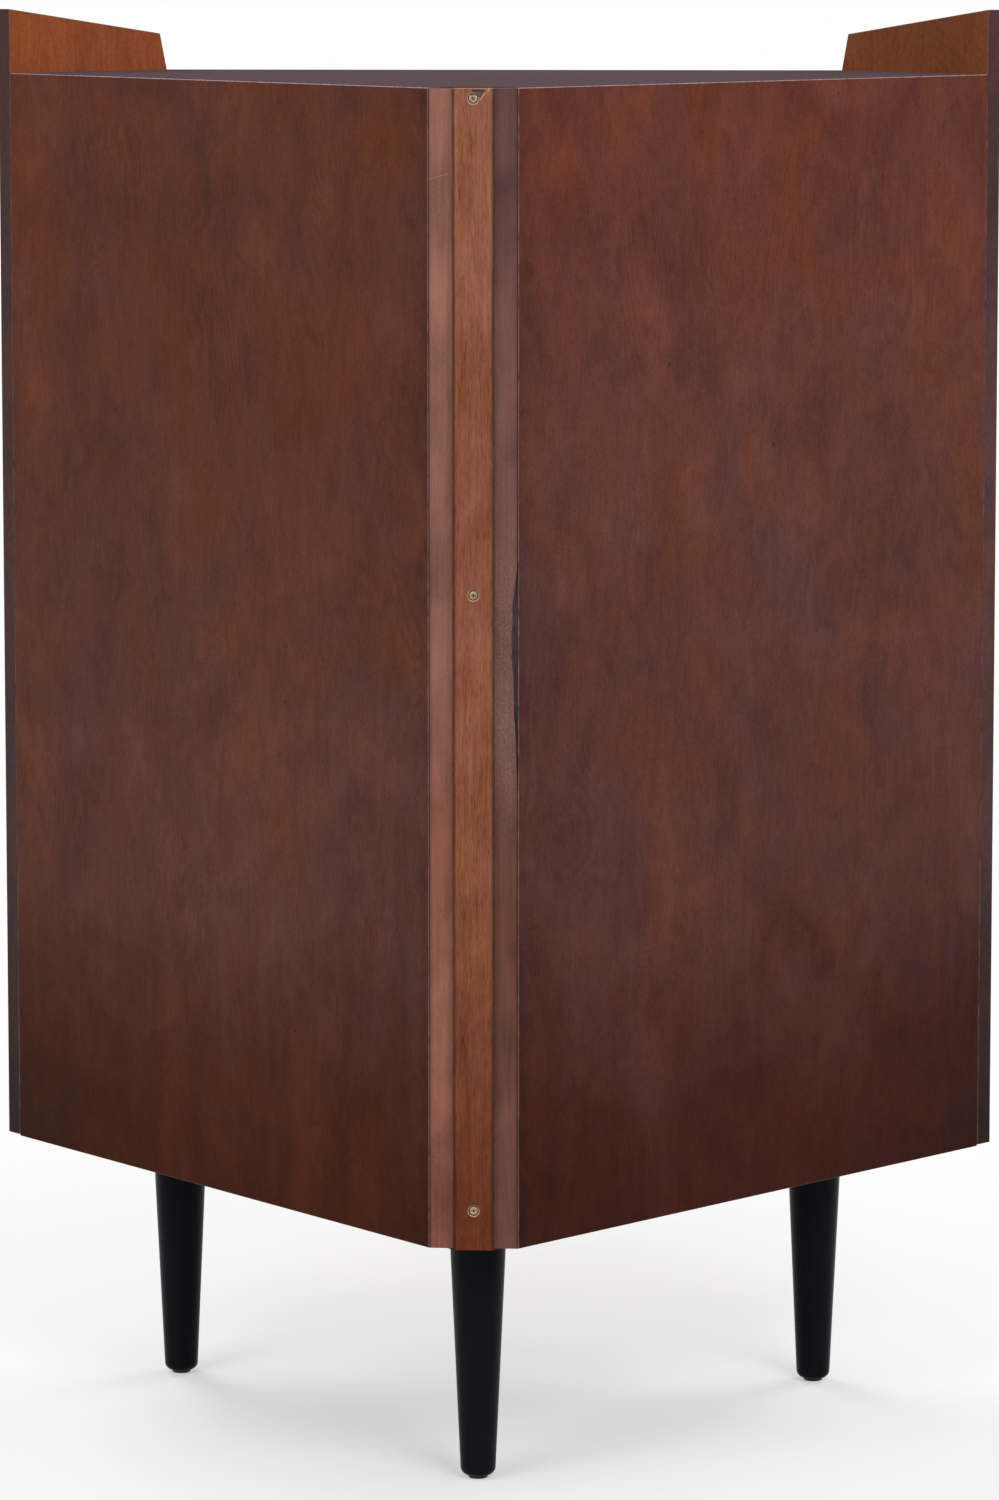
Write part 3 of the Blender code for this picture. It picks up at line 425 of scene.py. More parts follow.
def make_veneer(name, stain, turn, shift, fall=None, gloss=0.10, roughness=0.46, haze=None):
    """Stained birch veneer under satin lacquer: fibres, cloudy stain, curled figure, flecks and pin knots."""
    wood = Finish(name, turn, shift, Specular_IOR_Level=gloss, **(haze or {}))
    clouding = 1.0 if fall else CALM
    fibre = wood.noise(900, 150, 4.0, 0.6)
    streak = wood.noise(210, 26, 3.0, 0.4)
    band = wood.noise(30, 3.4, 2.0, 0.8)
    cloud = wood.noise(12, 9.0, 3.0, 0.8) * clouding
    mottle = wood.noise(46, 30, 4.0, 1.2) * clouding
    stipple = wood.noise(520, 420, 3.0)
    warmth = wood.noise(12, 8.0, 3.0, 0.9) * clouding
    figure = (wood.noise(15, 5.2, 1.0, 0.6) * 150).sine() * wood.noise(10, 7, 2.0).climb(0.02, 0.14)
    flecks = wood.marks(330, 46, 0.32, 0.12)
    knots = wood.marks(24, 20, 0.050, 0.35)
    pores = wood.noise(1500, 62, 2.0).climb(0.10, 0.22)
    tone = 0.5 + fibre * 0.46 + streak * 0.24 + band * (0.95 - clouding * 0.75) + cloud * 0.74 + mottle * 0.50
    tone = tone + stipple * 0.52 + figure * 0.060 - flecks * 0.12 - pores * 0.10 - knots * 0.40
    colour = wood.ramp(tone, [(at, paint(*shade)) for at, shade in zip(STAIN_TONES, STAINS[stain])])
    colour = wood.multiply(colour, wood.ramp(0.5 + warmth * 1.9, COOL_OR_WARM))
    if fall:
        # Painted shade towards the foot and a painted reflection half way up, from the fall
        own = wood.node("ShaderNodeTexCoord", {}, {}, "Object")
        colour = wood.multiply(colour, wood.ramp(own.axis("Z") + band * 0.08 + cloud * 0.10, fall))
        # Darker close to the ridge
        from_ridge = (own.axis("X") * own.axis("X")) ** 0.5 + mottle * 0.02
        ridge_dimming = 0.68 + from_ridge.climb(0.028, 0.048) * 0.24 + from_ridge.climb(0.040, 0.100) * 0.08
        colour = wood.dim(colour, ridge_dimming)
        # Painted shade: darker towards the low outer corners
        low_corner_shade = from_ridge.climb(0.22, 0.42) * (1 - own.axis("Z").climb(0.24, 0.60))
        colour = wood.dim(colour, 1 - low_corner_shade * 0.30)
    wood.wear(colour, roughness + cloud * 0.12 + fibre * 0.12)
    wood.relief(fibre * 0.6 + streak * 0.3 - flecks * 0.8 - pores - knots, 0.00008)
    return wood.material


def make_raw_edge(word, tint, speckle, fall):
    """A back panel's sawn edge: stained board with brush marks and saw grit, dark along its outer veneer."""
    side = SIDES[word]
    face = reach(word + "_back_panel", wall_facing(side))
    turn = -math.pi / 4 if side == RIGHT else -3 * math.pi / 4
    board = Finish(word + "_raw_edge", (0, 0, turn), Specular_IOR_Level=0.05)
    inward = face - board.place.axis("X")
    height = board.place.axis("Z")
    grit = board.noise(820, 560, 3.0)
    saw = board.noise(420, 14, 2.0)
    patch = board.noise(46, 22, 3.0, 0.6)
    cloud = board.noise(8, 11, 2.0)
    rough_zone = height.climb(0.50, 0.56) * (1 - height.climb(0.70, 0.76))
    tone = 0.5 + grit * (0.42 + rough_zone * speckle) + saw * 0.42 + patch * 0.75 + cloud * 0.8
    dark = [channel * 0.56 for channel in tint]
    light = [min(channel * 1.42, 1.0) for channel in tint]
    colour = board.ramp(tone, stops((0.08, *dark), (0.5, *tint), (0.92, *light)))
    # Painted shade: darker towards the gap beside the post, darkest along it, and just inside the outer arris
    shade = inward.climb(0.0080, 0.0136) * 0.30 + (1 - inward.climb(0.0010, 0.0026)) * 0.20
    shade = shade + inward.climb(0.0124, 0.0133) * 0.42
    colour = board.dim(colour, 1 - shade)
    colour = board.multiply(colour, board.ramp(height, fall))
    veneer = 1 - inward.climb(0.0007 + grit * 0.0006, 0.0012 + grit * 0.0006)
    colour = board.mix(veneer * 0.85, colour, paint(0.050, 0.019, 0.016))
    if side == RIGHT:
        crease = height - CREASE_HEIGHT - inward * CREASE_SLOPE
        line = crease.climb(-0.0007, -0.0001) * (1 - crease.climb(0.0001, 0.0009))
        line = line * (1 - inward.climb(0.010, 0.0125))
        colour = board.mix(line * 0.26, colour, paint(0.46, 0.27, 0.23))
    board.wear(colour, 0.80 + grit * 0.2)
    board.relief(grit + saw * 0.5, 0.00022)
    return board.material


def make_post_wood():
    """Thinly stained hardwood with open pores, as short dark dashes."""
    wood = Finish("open_pored_post", Specular_IOR_Level=0.10)
    pores = wood.noise(1150, 150, 2.0).climb(0.02, 0.12)
    long_pores = wood.marks(560, 74, 0.46, 0.50)
    fibre = wood.noise(1300, 46, 2.0)
    streak = wood.noise(300, 9, 2.0)
    patch = wood.noise(60, 20, 2.0, 0.6)
    cloud = wood.noise(14, 9, 2.0)
    warmth = wood.noise(34, 14, 3.0, 0.8)
    tone = 0.53 + fibre * 0.50 + streak * 0.38 + patch * 0.55 + cloud * 0.60
    colour = wood.ramp(tone - pores * 0.10 - long_pores * 0.13, POST_STAIN)
    # Painted shade: darker towards the foot, from the post's fall
    colour = wood.multiply(colour, wood.ramp(wood.place.axis("Z"), POST_FALL))
    colour = wood.multiply(colour, wood.ramp(0.5 + warmth * 2.0, ROSY_OR_GOLDEN))
    # Painted shade: darker along both side edges, beside the gaps to the raw edges
    from_middle = (wood.place.axis("X") * wood.place.axis("X")) ** 0.5
    colour = wood.dim(colour, 1 - from_middle.climb(0.0126 + patch * 0.002, 0.0144) * 0.45)
    wood.wear(colour, 0.56 + fibre * 0.2)
    wood.relief(fibre * 0.5 - pores * 0.7 - long_pores, 0.00014)
    return wood.material


def make_lacquer():
    """Black satin lacquer on turned wood."""
    coat = Finish("satin_black", Specular_IOR_Level=0.05)
    peel = coat.noise(420, 420, 2.0)
    grain = coat.noise(900, 14, 2.0)
    smudge = coat.noise(24, 12, 3.0)
    coat.wear(coat.ramp(0.5 + smudge * 0.6, LACQUER_BLACKS), 0.33 + smudge * 0.16 + peel * 0.05)
    coat.relief(peel * 0.5 + grain * 0.5, 0.00006)
    return coat.material


def make_metal(name, dull, bright, shine, brushing=(500, 500)):
    """Worn metal: fine brushing, smudges and a darker bloom."""
    metal = Finish(name, Metallic=1.0)
    scratch = metal.noise(*brushing, 2.0)
    fine = metal.noise(2600, 2600, 2.0)
    bloom = metal.noise(160, 160, 3.0)
    colour = metal.ramp(0.5 + bloom * 1.1 + scratch * 0.3, stops((0.2, *dull), (0.75, *bright)))
    metal.wear(colour, shine - bloom * 0.25 + fine * 0.12)
    metal.relief(scratch * 0.6 + fine * 0.4, 0.00003)
    return metal.material


def make_nylon():
    nylon = Finish("moulded_nylon", Specular_IOR_Level=0.4)
    grit = nylon.noise(2400, 2400, 2.0)
    rub = nylon.noise(90, 90, 3.0)
    nylon.wear(nylon.ramp(0.5 + rub, NYLON_BLACKS), 0.58 + grit * 0.2)
    nylon.relief(grit, 0.00004)
    return nylon.material


def make_plain(name, dark, light, roughness, feature):
    """Small places: torn fibres, filler, a worn arris, a dark wane, a painted highlight along an arris,
    painted shade in hollows.
    """
    spot = Finish(name, Specular_IOR_Level=0.2)
    grain = spot.noise(feature, feature * 0.4, 3.0)
    spot.wear(spot.ramp(0.5 + grain * 1.4, stops((0.1, *dark), (0.9, *light))), roughness + grain * 0.2)
    spot.relief(grain, 0.0002)
    return spot.material


# Meshes


def add_object(name, data):
    thing = bpy.data.objects.new(name, data)
    bpy.context.scene.collection.objects.link(thing)
    return thing


def span(node):
    """The low corner, high corner and middle of a CAD node's box."""
    low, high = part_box(node)
    return low, high, (low + high) / 2


def wall_facing(side):
    """The direction in which a back panel faces its wall."""
    return Vector((side * WALL_NORMAL, WALL_NORMAL, 0))


def reach(node, direction):
    """How far a CAD node's solid reaches along a direction."""
    return max(vertex.co.dot(direction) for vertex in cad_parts[node].data.vertices)


def solid_of(node):
    """A CAD node's solid as welded faces, flat stretches joined."""
    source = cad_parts[node].data
    shape = bmesh.new()
    verts = [shape.verts.new(vertex.co) for vertex in source.vertices]
    for polygon in source.polygons:
        shape.faces.new([verts[index] for index in polygon.vertices])
    bmesh.ops.remove_doubles(shape, verts=shape.verts, dist=MERGE_GAP)
    bmesh.ops.dissolve_limit(shape, angle_limit=FLAT_ANGLE, verts=shape.verts, edges=shape.edges)
    shape.normal_update()
    return shape


def ease(shape, width, slot=0):
    """Round the long outer arrises. The new faces take the finish in that slot."""
    shape.normal_update()
    edges = []
    for edge in shape.edges:
        sharp = edge.is_manifold and edge.is_convex and edge.calc_face_angle() > CORNER_ANGLE
        if sharp and edge.calc_length() > SHORTEST_EASED:
            edges.append(edge)
    bmesh.ops.bevel(shape, geom=edges, offset=width, clamp_overlap=False, material=slot, **ROUNDED)


def mesh_from(name, shape, smooth=False):
    mesh = bpy.data.meshes.new(name)
    bmesh.ops.recalc_face_normals(shape, faces=shape.faces)
    shape.to_mesh(mesh)
    shape.free()
    if smooth:
        smoothen(mesh)
    return mesh


def smoothen(mesh):
    mesh.shade_smooth()
    mesh.set_sharp_from_angle(angle=CORNER_ANGLE)


def show(name, mesh, finishes, body, slot, *nodes):
    """Put a finished piece in the scene in place of its CAD nodes."""
    thing = add_object(name, mesh)
    for index, finish in enumerate(finishes):
        if index < len(mesh.materials):
            mesh.materials[index] = finish
        else:
            mesh.materials.append(finish)
    if nodes:
        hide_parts(*nodes)
    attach(thing, body)


def loft(rings):
    """A closed solid through rings of as many points each."""
    shape = bmesh.new()
    rings = [[shape.verts.new(point) for point in ring] for ring in rings]
    shape.faces.new(rings[0][::-1])
    shape.faces.new(rings[-1])
    for lower, upper in zip(rings, rings[1:]):
        for index, corner in enumerate(lower):
            after = (index + 1) % len(lower)
            shape.faces.new([corner, lower[after], upper[after], upper[index]])
    return shape


def prism(outline, low, high):
    """An outline in XY drawn up between two heights."""
    return loft([[(x, y, z) for x, y in outline] for z in (low, high)])


def lathe(profile, facets=TURNED_FACETS):
    """A profile of (radius, height) pairs turned about Z, closed at its poles."""
    shape = bmesh.new()
    rings = []
    for radius, height in profile:
        if radius < MERGE_GAP:
            rings.append([shape.verts.new((0, 0, height))])
            continue
        angles = [2 * math.pi * step / facets for step in range(facets)]
        rings.append([shape.verts.new((radius * math.cos(a), radius * math.sin(a), height)) for a in angles])
    for upper, lower in zip(rings, rings[1:]):
        for step in range(facets):
            after = (step + 1) % facets
            corners = [upper[step % len(upper)], upper[after % len(upper)]]
            corners += [lower[after % len(lower)], lower[step % len(lower)]]
            shape.faces.new(list(dict.fromkeys(corners)))
    return shape


def move(shape, place, direction=(0, 0, 1), roll=0.0):
    """Bring Z to a direction and the origin to a place."""
    turn = Vector(direction).to_track_quat("Z", "Y").to_matrix().to_4x4()
    matrix = Matrix.Translation(place) @ turn @ Matrix.Rotation(roll, 4, "Z")
    bmesh.ops.transform(shape, matrix=matrix, verts=shape.verts)
    return shape


def slide(shape, x, y, z=0):
    bmesh.ops.translate(shape, vec=(x, y, z), verts=shape.verts)
    return shape


def stand(shape):
    """Turn a shape that lies in XY so that its Y points up and its Z forwards."""
    bmesh.ops.transform(shape, matrix=Matrix.Rotation(QUARTER, 4, "X"), verts=shape.verts)
    return shape


def fillet(points, radius, steps=5, closed=True):
    """Round the corners of an outline."""
    rounded = []
    count = len(points)
    for index, point in enumerate(points):
        here = Vector(point)
        if not closed and index in (0, count - 1):
            rounded.append(tuple(here))
            continue
        before = Vector(points[index - 1]) - here
        after = Vector(points[(index + 1) % count]) - here
        cut = min(radius, before.length / 2, after.length / 2)
        start = here + before.normalized() * cut
        end = here + after.normalized() * cut
        for step in range(steps + 1):
            share = step / steps
            inner = start.lerp(here, share).lerp(here.lerp(end, share), share)
            rounded.append(tuple(inner))
    return rounded


def rectangle(width, height, radius):
    x, y = width / 2, height / 2
    return fillet([(-x, -y), (x, -y), (x, y), (-x, y)], radius)


def cross_outline(reach_out, arm):
    """The outline of a screw's cross recess."""
    outline = []
    for turn in range(4):
        corner = Matrix.Rotation(turn * QUARTER, 2)
        for point in ((reach_out, -arm), (reach_out, arm), (arm, arm)):
            outline.append(tuple(corner @ Vector(point)))
    return outline


def evaluated(thing):
    """The plain mesh of an object with its modifiers, which goes away."""
    bpy.context.view_layer.update()
    graph = bpy.context.evaluated_depsgraph_get()
    mesh = bpy.data.meshes.new_from_object(thing.evaluated_get(graph))
    bpy.data.objects.remove(thing)
    return mesh


def carve(mesh, cutter_shape, finishes):
    """Cut a shape out of a mesh. Its faces keep their own finish."""
    cutter = add_object("cutter", mesh_from("cutter", cutter_shape))
    for finish in finishes:
        cutter.data.materials.append(finish)
    work = add_object("work", mesh)
    modifier = work.modifiers.new("cut", "BOOLEAN")
    modifier.operation = "DIFFERENCE"
    modifier.solver = "EXACT"
    modifier.material_mode = "TRANSFER"
    modifier.object = cutter
    result = evaluated(work)
    bpy.data.objects.remove(cutter)
    return result


def new_group(name, inputs):
    """A geometry node group with these inputs, and the inputs as values."""
    group = bpy.data.node_groups.new(name, "GeometryNodeTree")
    for word, kind in inputs.items():
        group.interface.new_socket(word, in_out="INPUT", socket_type="NodeSocket" + kind)
    group.interface.new_socket("Made", in_out="OUTPUT", socket_type="NodeSocketGeometry")
    tree = Tree(group)
    given = group.nodes.new("NodeGroupInput")
    return group, tree, [Value(tree, given.outputs[word]) for word in inputs]


def grown(name, mesh, group, **given):
    """What a node group makes of a mesh and of values for its inputs."""
    holder = add_object(name, mesh)
    modifier = holder.modifiers.new("growth", "NODES")
    modifier.node_group = group
    for item in group.interface.items_tree:
        word = item.name.replace(" ", "_").lower()
        if item.in_out == "INPUT" and word in given:
            modifier[item.identifier] = given[word]
    return evaluated(holder)


# Finishes of the cabinet


# Rubbed lacquer, which looks pale and cool only at a low angle
HAZE = {"Sheen_Weight": 0.20, "Sheen_Roughness": 0.25, "Sheen_Tint": paint(0.80, 0.75, 1.00)}
# Stain, lie of the grain, place in the wood, change with height, gloss, roughness and haze
VENEERS = {
    "right_back_veneer": ("brown", UPRIGHT, (1.3, 0.4, 0.2), BROWN_FALL, 0.05),
    "left_back_veneer": ("red", UPRIGHT, (4.1, 2.2, 1.7), RED_FALL, 0.05),
    "right_end_stain": ("dark", UPRIGHT, (2.2, 2.6, 9.4), RIGHT_END_FALL),
    "left_end_stain": ("dark", UPRIGHT, (2.2, 2.6, 9.4), LEFT_END_FALL),
    # Painted light: the right side panel takes the brighter copy of the amber stain
    "right_side_veneer": ("lit_amber", UPRIGHT, (7.3, 1.9, 3.1)),
    "left_side_veneer": ("amber", UPRIGHT, (2.7, 8.4, 5.2)),
    "top_veneer": ("walnut", LYING, (3.3, 6.1, 2.9), None, 0.0, 0.75, HAZE),
    "shelf_veneer": ("brown", LYING, (9.2, 3.7, 4.4)),
    "right_door_veneer": ("amber", UPRIGHT, (5.6, 7.7, 8.3)),
    "left_door_veneer": ("amber", UPRIGHT, (6.9, 0.8, 6.5)),
    "frame_veneer": ("amber", UPRIGHT, (8.8, 5.3, 7.6)),
    "rail_veneer": ("amber", LYING, (0.6, 9.1, 1.1)),
}
woods = {name: make_veneer(name, *looks) for name, looks in VENEERS.items()}
raw_edges = {
    "right": make_raw_edge("right", (0.288, 0.128, 0.098), 0.05, RIGHT_EDGE_FALL),
    "left": make_raw_edge("left", (0.186, 0.087, 0.076), 0.85, LEFT_EDGE_FALL),
}
worn_arris = make_plain("worn_arris", (0.040, 0.017, 0.016), (0.240, 0.130, 0.115), 0.55, 340)
# Painted highlight: a pale line along the back panels' top outer arris
rubbed_arris = make_plain("rubbed_arris", (0.150, 0.080, 0.078), (0.620, 0.420, 0.400), 0.6, 260)
post_wood = make_post_wood()
torn_wood = make_plain("torn_wood", (0.250, 0.130, 0.085), (0.660, 0.460, 0.350), 0.8, 700)
# Painted shade: the wall of each screw's well darker than the post's wood
hollow = make_plain("well_hollow", (0.070, 0.028, 0.012), (0.220, 0.090, 0.045), 0.9, 900)
recess_shade = make_plain("recess_shade", (0.030, 0.015, 0.008), (0.130, 0.070, 0.040), 0.9, 2500)
filler = make_plain("grey_filler", (0.070, 0.048, 0.052), (0.170, 0.120, 0.122), 0.8, 600)
# Very dark and purplish inside the wane
wane_stain = make_plain("wane_stain", (0.026, 0.017, 0.024), (0.085, 0.050, 0.058), 0.8, 300)
lacquer = make_lacquer()
pale_brass = make_metal("pale_brass", (0.14, 0.078, 0.042), (0.56, 0.40, 0.27), 0.40)
aged_brass = make_metal("furniture_brass", (0.26, 0.15, 0.055), (0.56, 0.37, 0.16), 0.32)
zinc = make_metal("zinc_plate", (0.34, 0.34, 0.33), (0.66, 0.65, 0.62), 0.36, (900, 60))
nylon = make_nylon()


# Boards and panels


def dress_board(name, node, finishes, body="case", slot="board_veneer", arris=BOARD_ARRIS, face_slot=None):
    """A board with eased arrises. face_slot picks the finish of a flat face from its normal."""
    shape = solid_of(node)
    if face_slot:
        for face in shape.faces:
            face.material_index = face_slot(face.normal)
    ease(shape, arris, len(finishes) - 1)
    show(name, mesh_from(name, shape), finishes, body, slot, node)


def wane_shape():
    """A long sliver just inside the left back panel's rear arris, widest above its middle."""
    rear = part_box("left_back_panel")[1].y
    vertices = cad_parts["left_back_panel"].data.vertices
    edge_x = min(v.co.x for v in vertices if v.co.y > rear - MERGE_GAP) + WANE_INSET
    rings = []
    for step in range(WANE_STEPS + 1):
        share = step / WANE_STEPS
        swell = 0.0
        for (low, narrow), (high, wide) in zip(WANE_SWELL_SHARES, WANE_SWELL_SHARES[1:]):
            if low <= share <= high:
                swell = narrow + (wide - narrow) * (share - low) / (high - low)
        ripple = 1 + 0.10 * math.sin(23 * share) + 0.06 * math.sin(57 * share + 1)
        width = MERGE_GAP * 4 + WANE_WIDTH * swell * ripple
        corners = [(0, CUT_OVERRUN), (width, CUT_OVERRUN), (width, 0)]
        corners += [(width * 0.45, -WANE_DEPTH), (0, -WANE_DEPTH * 0.5)]
        z = WANE_FOOT + (WANE_HEAD - WANE_FOOT) * share
        rings.append([(edge_x + x, rear + y, z) for x, y in corners])
    return loft(rings)


def make_back_panels():
    for word, side in SIDES.items():
        node = word + "_back_panel"
        outward = wall_facing(side)
        shape = solid_of(node)
        for face in shape.faces:
            if abs(face.normal.dot(outward)) > SQUARE_ON:
                face.material_index = 0
            else:
                face.material_index = 3 if face.normal.z > SQUARE_ON else 1
        ease(shape, BOARD_ARRIS, 2)
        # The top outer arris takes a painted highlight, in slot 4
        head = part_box(node)[1].z - BOARD_ARRIS
        rim = reach(node, outward) - BOARD_ARRIS
        for face in shape.faces:
            middle = face.calc_center_median()
            if face.material_index == 2 and middle.z > head and middle.dot(outward) > rim:
                face.material_index = 4
        mesh = mesh_from(node, shape)
        back = woods[word + "_back_veneer"]
        finishes = [back, raw_edges[word], worn_arris, woods["top_veneer"], rubbed_arris]
        if side == LEFT:
            for finish in finishes:
                mesh.materials.append(finish)
            mesh = carve(mesh, wane_shape(), [wane_stain])
            finishes = list(mesh.materials)
        show(word + "_back_board", mesh, finishes, "case", "panel_veneer", node)


def make_side_panels():
    for word, side in SIDES.items():
        along = Vector((side * WALL_NORMAL, -WALL_NORMAL, 0))
        dress_board(
            word + "_side_board",
            word + "_side_panel",
            [woods[word + "_side_veneer"], woods[word + "_end_stain"], worn_arris],
            slot="panel_veneer",
            face_slot=lambda normal, along=along: 0 if abs(normal.dot(along)) > SQUARE_ON else 1,
        )


def make_shelves():
    for name in ("middle_shelf", "bottom_panel", "adjustable_shelf"):
        dress_board(name + "_board", name, [woods["shelf_veneer"]])
    dress_board("top_board", "top_panel", [woods["top_veneer"]])


def make_front():
    for word in SIDES:
        stile = word + "_front_stile"
        dress_board(word + "_stile_post", stile, [woods["frame_veneer"]], slot="panel_veneer")
        door = word + "_door"
        dress_board(door + "_slab", door, [woods[door + "_veneer"]], door, "panel_veneer", DOOR_ARRIS)
    dress_board("foot_rail", "front_rail", [woods["rail_veneer"]], slot="panel_veneer")


# Rear post and its screws


def well_cutter(place):
    """A round well with a torn lip and a dark wall."""
    profile = [(0, WELL_LIP), (WELL_RADIUS + 2 * WELL_LIP, WELL_LIP), (WELL_RADIUS, -WELL_LIP)]
    profile += [(WELL_RADIUS, -WELL_DEPTH), (0, -WELL_DEPTH)]
    shape = lathe(profile, WELL_FACETS)
    for face in shape.faces:
        middle = face.calc_center_median()
        face.material_index = 0 if middle.z > -WELL_LIP else 1
    return move(shape, place, REARWARD)


def make_post():
    low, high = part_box("corner_post")
    rear = high.y
    rear_half = high.x - (high.y - low.y)
    outline = [(rear_half, rear), (high.x, low.y), (low.x, low.y), (-rear_half, rear)]
    shape = prism(fillet(outline, POST_ARRIS, 3), low.z, high.z)
    ease(shape, POST_ARRIS, 1)
    mesh = mesh_from("rear_post", shape)
    mesh.materials.append(post_wood)
    mesh.materials.append(torn_wood)
    for level in POST_LEVELS:
        middle = span("post_screw_" + level)[2]
        mesh = carve(mesh, well_cutter((middle.x, rear, middle.z)), [torn_wood, hollow])
    splinter = (SPLINTER_OUTLINE, SPLINTER_DEPTH, torn_wood)
    chip = (CHIP_OUTLINE, CHIP_DEPTH, filler)
    for outline, depth, finish in (splinter, chip):
        shape = slide(stand(prism(outline, -depth, depth)), 0, rear, high.z)
        mesh = carve(mesh, shape, [finish])
    show("rear_post", mesh, list(mesh.materials), "case", "post_wood", "corner_post")


def screw_pattern(name, length):
    """A countersunk screw of head radius 1 with a cross recess, its face at height zero."""
    profile = [*HEAD_SHARES, (SHANK_SHARE, -NECK_SHARE), (SHANK_SHARE, 1 - length), (0, -length)]
    mesh = mesh_from(name, lathe(profile, SMALL_FACETS))
    mesh.materials.append(zinc)
    outline = cross_outline(CROSS_REACH_SHARE, CROSS_ARM_SHARE)
    shape = prism(outline, -CROSS_DEPTH_SHARE, CROSS_RISE_SHARE)
    for vert in shape.verts:
        if vert.co.z < 0:
            vert.co.x *= CROSS_TAPER_SHARE
            vert.co.y *= CROSS_TAPER_SHARE
    mesh = carve(mesh, shape, [recess_shade])
    smoothen(mesh)
    return add_object(name, mesh)


def screw_set_tree():
    """Puts one screw on each point, along the point's own facing, with a random turn of its cross."""
    inputs = {"Places": "Geometry", "Screw": "Object", "Seed": "Int"}
    inputs |= {"Finish": "Material", "Recess": "Material"}
    group, tree, (places, screw, seed, finish, cross) = new_group("screw_set", inputs)
    facing = tree.node("GeometryNodeInputNamedAttribute", {"data_type": "FLOAT_VECTOR"}, {"Name": "facing"})
    radius = tree.node("GeometryNodeInputNamedAttribute", {"data_type": "FLOAT"}, {"Name": "radius"})
    aim = tree.node("FunctionNodeAlignRotationToVector", {"axis": "Z"}, {"Vector": facing})
    limits = {2: 0.0, 3: math.pi, "Seed": seed}
    angle = tree.node("FunctionNodeRandomValue", {"data_type": "FLOAT"}, limits, 1)
    spin = tree.node("FunctionNodeAxisAngleToRotation", {}, {"Axis": (0, 0, 1), "Angle": angle})
    turned = tree.node("FunctionNodeRotateRotation", {"rotation_space": "LOCAL"}, {0: aim, 1: spin})
    pattern = tree.node("GeometryNodeObjectInfo", {}, {"Object": screw}, "Geometry")
    inputs = {"Points": places, "Instance": pattern, "Rotation": turned, "Scale": radius}
    copies = tree.node("GeometryNodeInstanceOnPoints", {}, inputs)
    real = tree.node("GeometryNodeRealizeInstances", {}, {0: copies})
    recess = tree.node("GeometryNodeMaterialSelection", {}, {"Material": cross})
    metal = tree.node("FunctionNodeBooleanMath", {"operation": "NOT"}, {0: recess})
    plated = tree.node("GeometryNodeSetMaterial", {}, {0: real, "Selection": metal, "Material": finish})
    tree.feed(group.nodes.new("NodeGroupOutput").inputs[0], plated)
    return group


def screw_set(name, places, pattern, finish, body, slot, *nodes):
    """All the screws of one kind on one body: (place, facing, head radius) each."""
    mesh = bpy.data.meshes.new(name)
    mesh.from_pydata([tuple(place) for place, _, _ in places], [], [])
    mesh.attributes.new("facing", "FLOAT_VECTOR", "POINT")
    mesh.attributes.new("radius", "FLOAT", "POINT")
    for index, (_, direction, size) in enumerate(places):
        mesh.attributes["facing"].data[index].vector = direction
        mesh.attributes["radius"].data[index].value = size
    made = grown(name, mesh, screw_tree, screw=pattern, seed=SCREW_SEED, finish=finish, recess=recess_shade)
    show(name, made, list(made.materials), body, slot, *nodes)


# Legs


def leg_tree():
    """A tapered turned leg with a rounded foot."""
    inputs = {"Start": "Geometry"}
    for name in ("Foot Height", "Length", "Foot Radius", "Top Radius", "Foot Round"):
        inputs[name] = "Float"
    inputs |= {"Place": "Vector", "Finish": "Material"}
    group, tree, values = new_group("turned_leg", inputs)
    foot, length, foot_radius, top_radius, foot_round, place, finish = values[1:]
    line = tree.node("GeometryNodeCurvePrimitiveLine", {}, {"Start": (0, 0, 0), "End": (0, 0, 1)})
    line = tree.node("GeometryNodeResampleCurve", {}, {"Curve": line, "Count": LEG_RINGS})
    share = tree.node("GeometryNodeSplineParameter", {}, {}, "Factor") ** LEG_RING_CROWDING
    climb = share * length
    taper = foot_radius + (top_radius - foot_radius) * share
    short = (foot_round - climb).larger(0.0)
    curl = foot_round - (foot_round * foot_round - short * short).larger(0.0) ** 0.5
    point = tree.node("ShaderNodeCombineXYZ", {}, {"Z": foot + climb})
    line = tree.node("GeometryNodeSetCurveRadius", {}, {"Curve": line, "Radius": taper - curl})
    line = tree.node("GeometryNodeSetPosition", {}, {"Geometry": line, "Position": point})
    ring = tree.node("GeometryNodeCurvePrimitiveCircle", {}, {"Resolution": TURNED_FACETS, "Radius": 1.0})
    radius = tree.node("GeometryNodeInputRadius", {}, {})
    skin = {"Curve": line, "Profile Curve": ring, "Fill Caps": True, "Scale": radius}
    leg = tree.node("GeometryNodeCurveToMesh", {}, skin)
    leg = tree.node("GeometryNodeTransform", {}, {"Geometry": leg, "Translation": place})
    leg = tree.node("GeometryNodeRealizeInstances", {}, {0: leg})
    leg = tree.node("GeometryNodeSetMaterial", {}, {"Geometry": leg, "Material": finish})
    tree.feed(group.nodes.new("NodeGroupOutput").inputs[0], leg)
    return group


def make_legs():
    group = leg_tree()
    for word in LEGS:
        node = word + "_leg"
        low, high, middle = span(node)
        mesh = grown(
            node,
            bpy.data.meshes.new(node),
            group,
            foot_height=low.z,
            length=high.z - low.z,
            foot_radius=LEG_FOOT_RADIUS,
            top_radius=(high.x - low.x) / 2,
            foot_round=LEG_FOOT_ROUND,
            place=(middle.x, middle.y, 0.0),
            finish=lacquer,
        )
        smoothen(mesh)
        show(word + "_turned_leg", mesh, [lacquer], "case", "black_lacquer", node)
        make_leg_metal(word, middle)


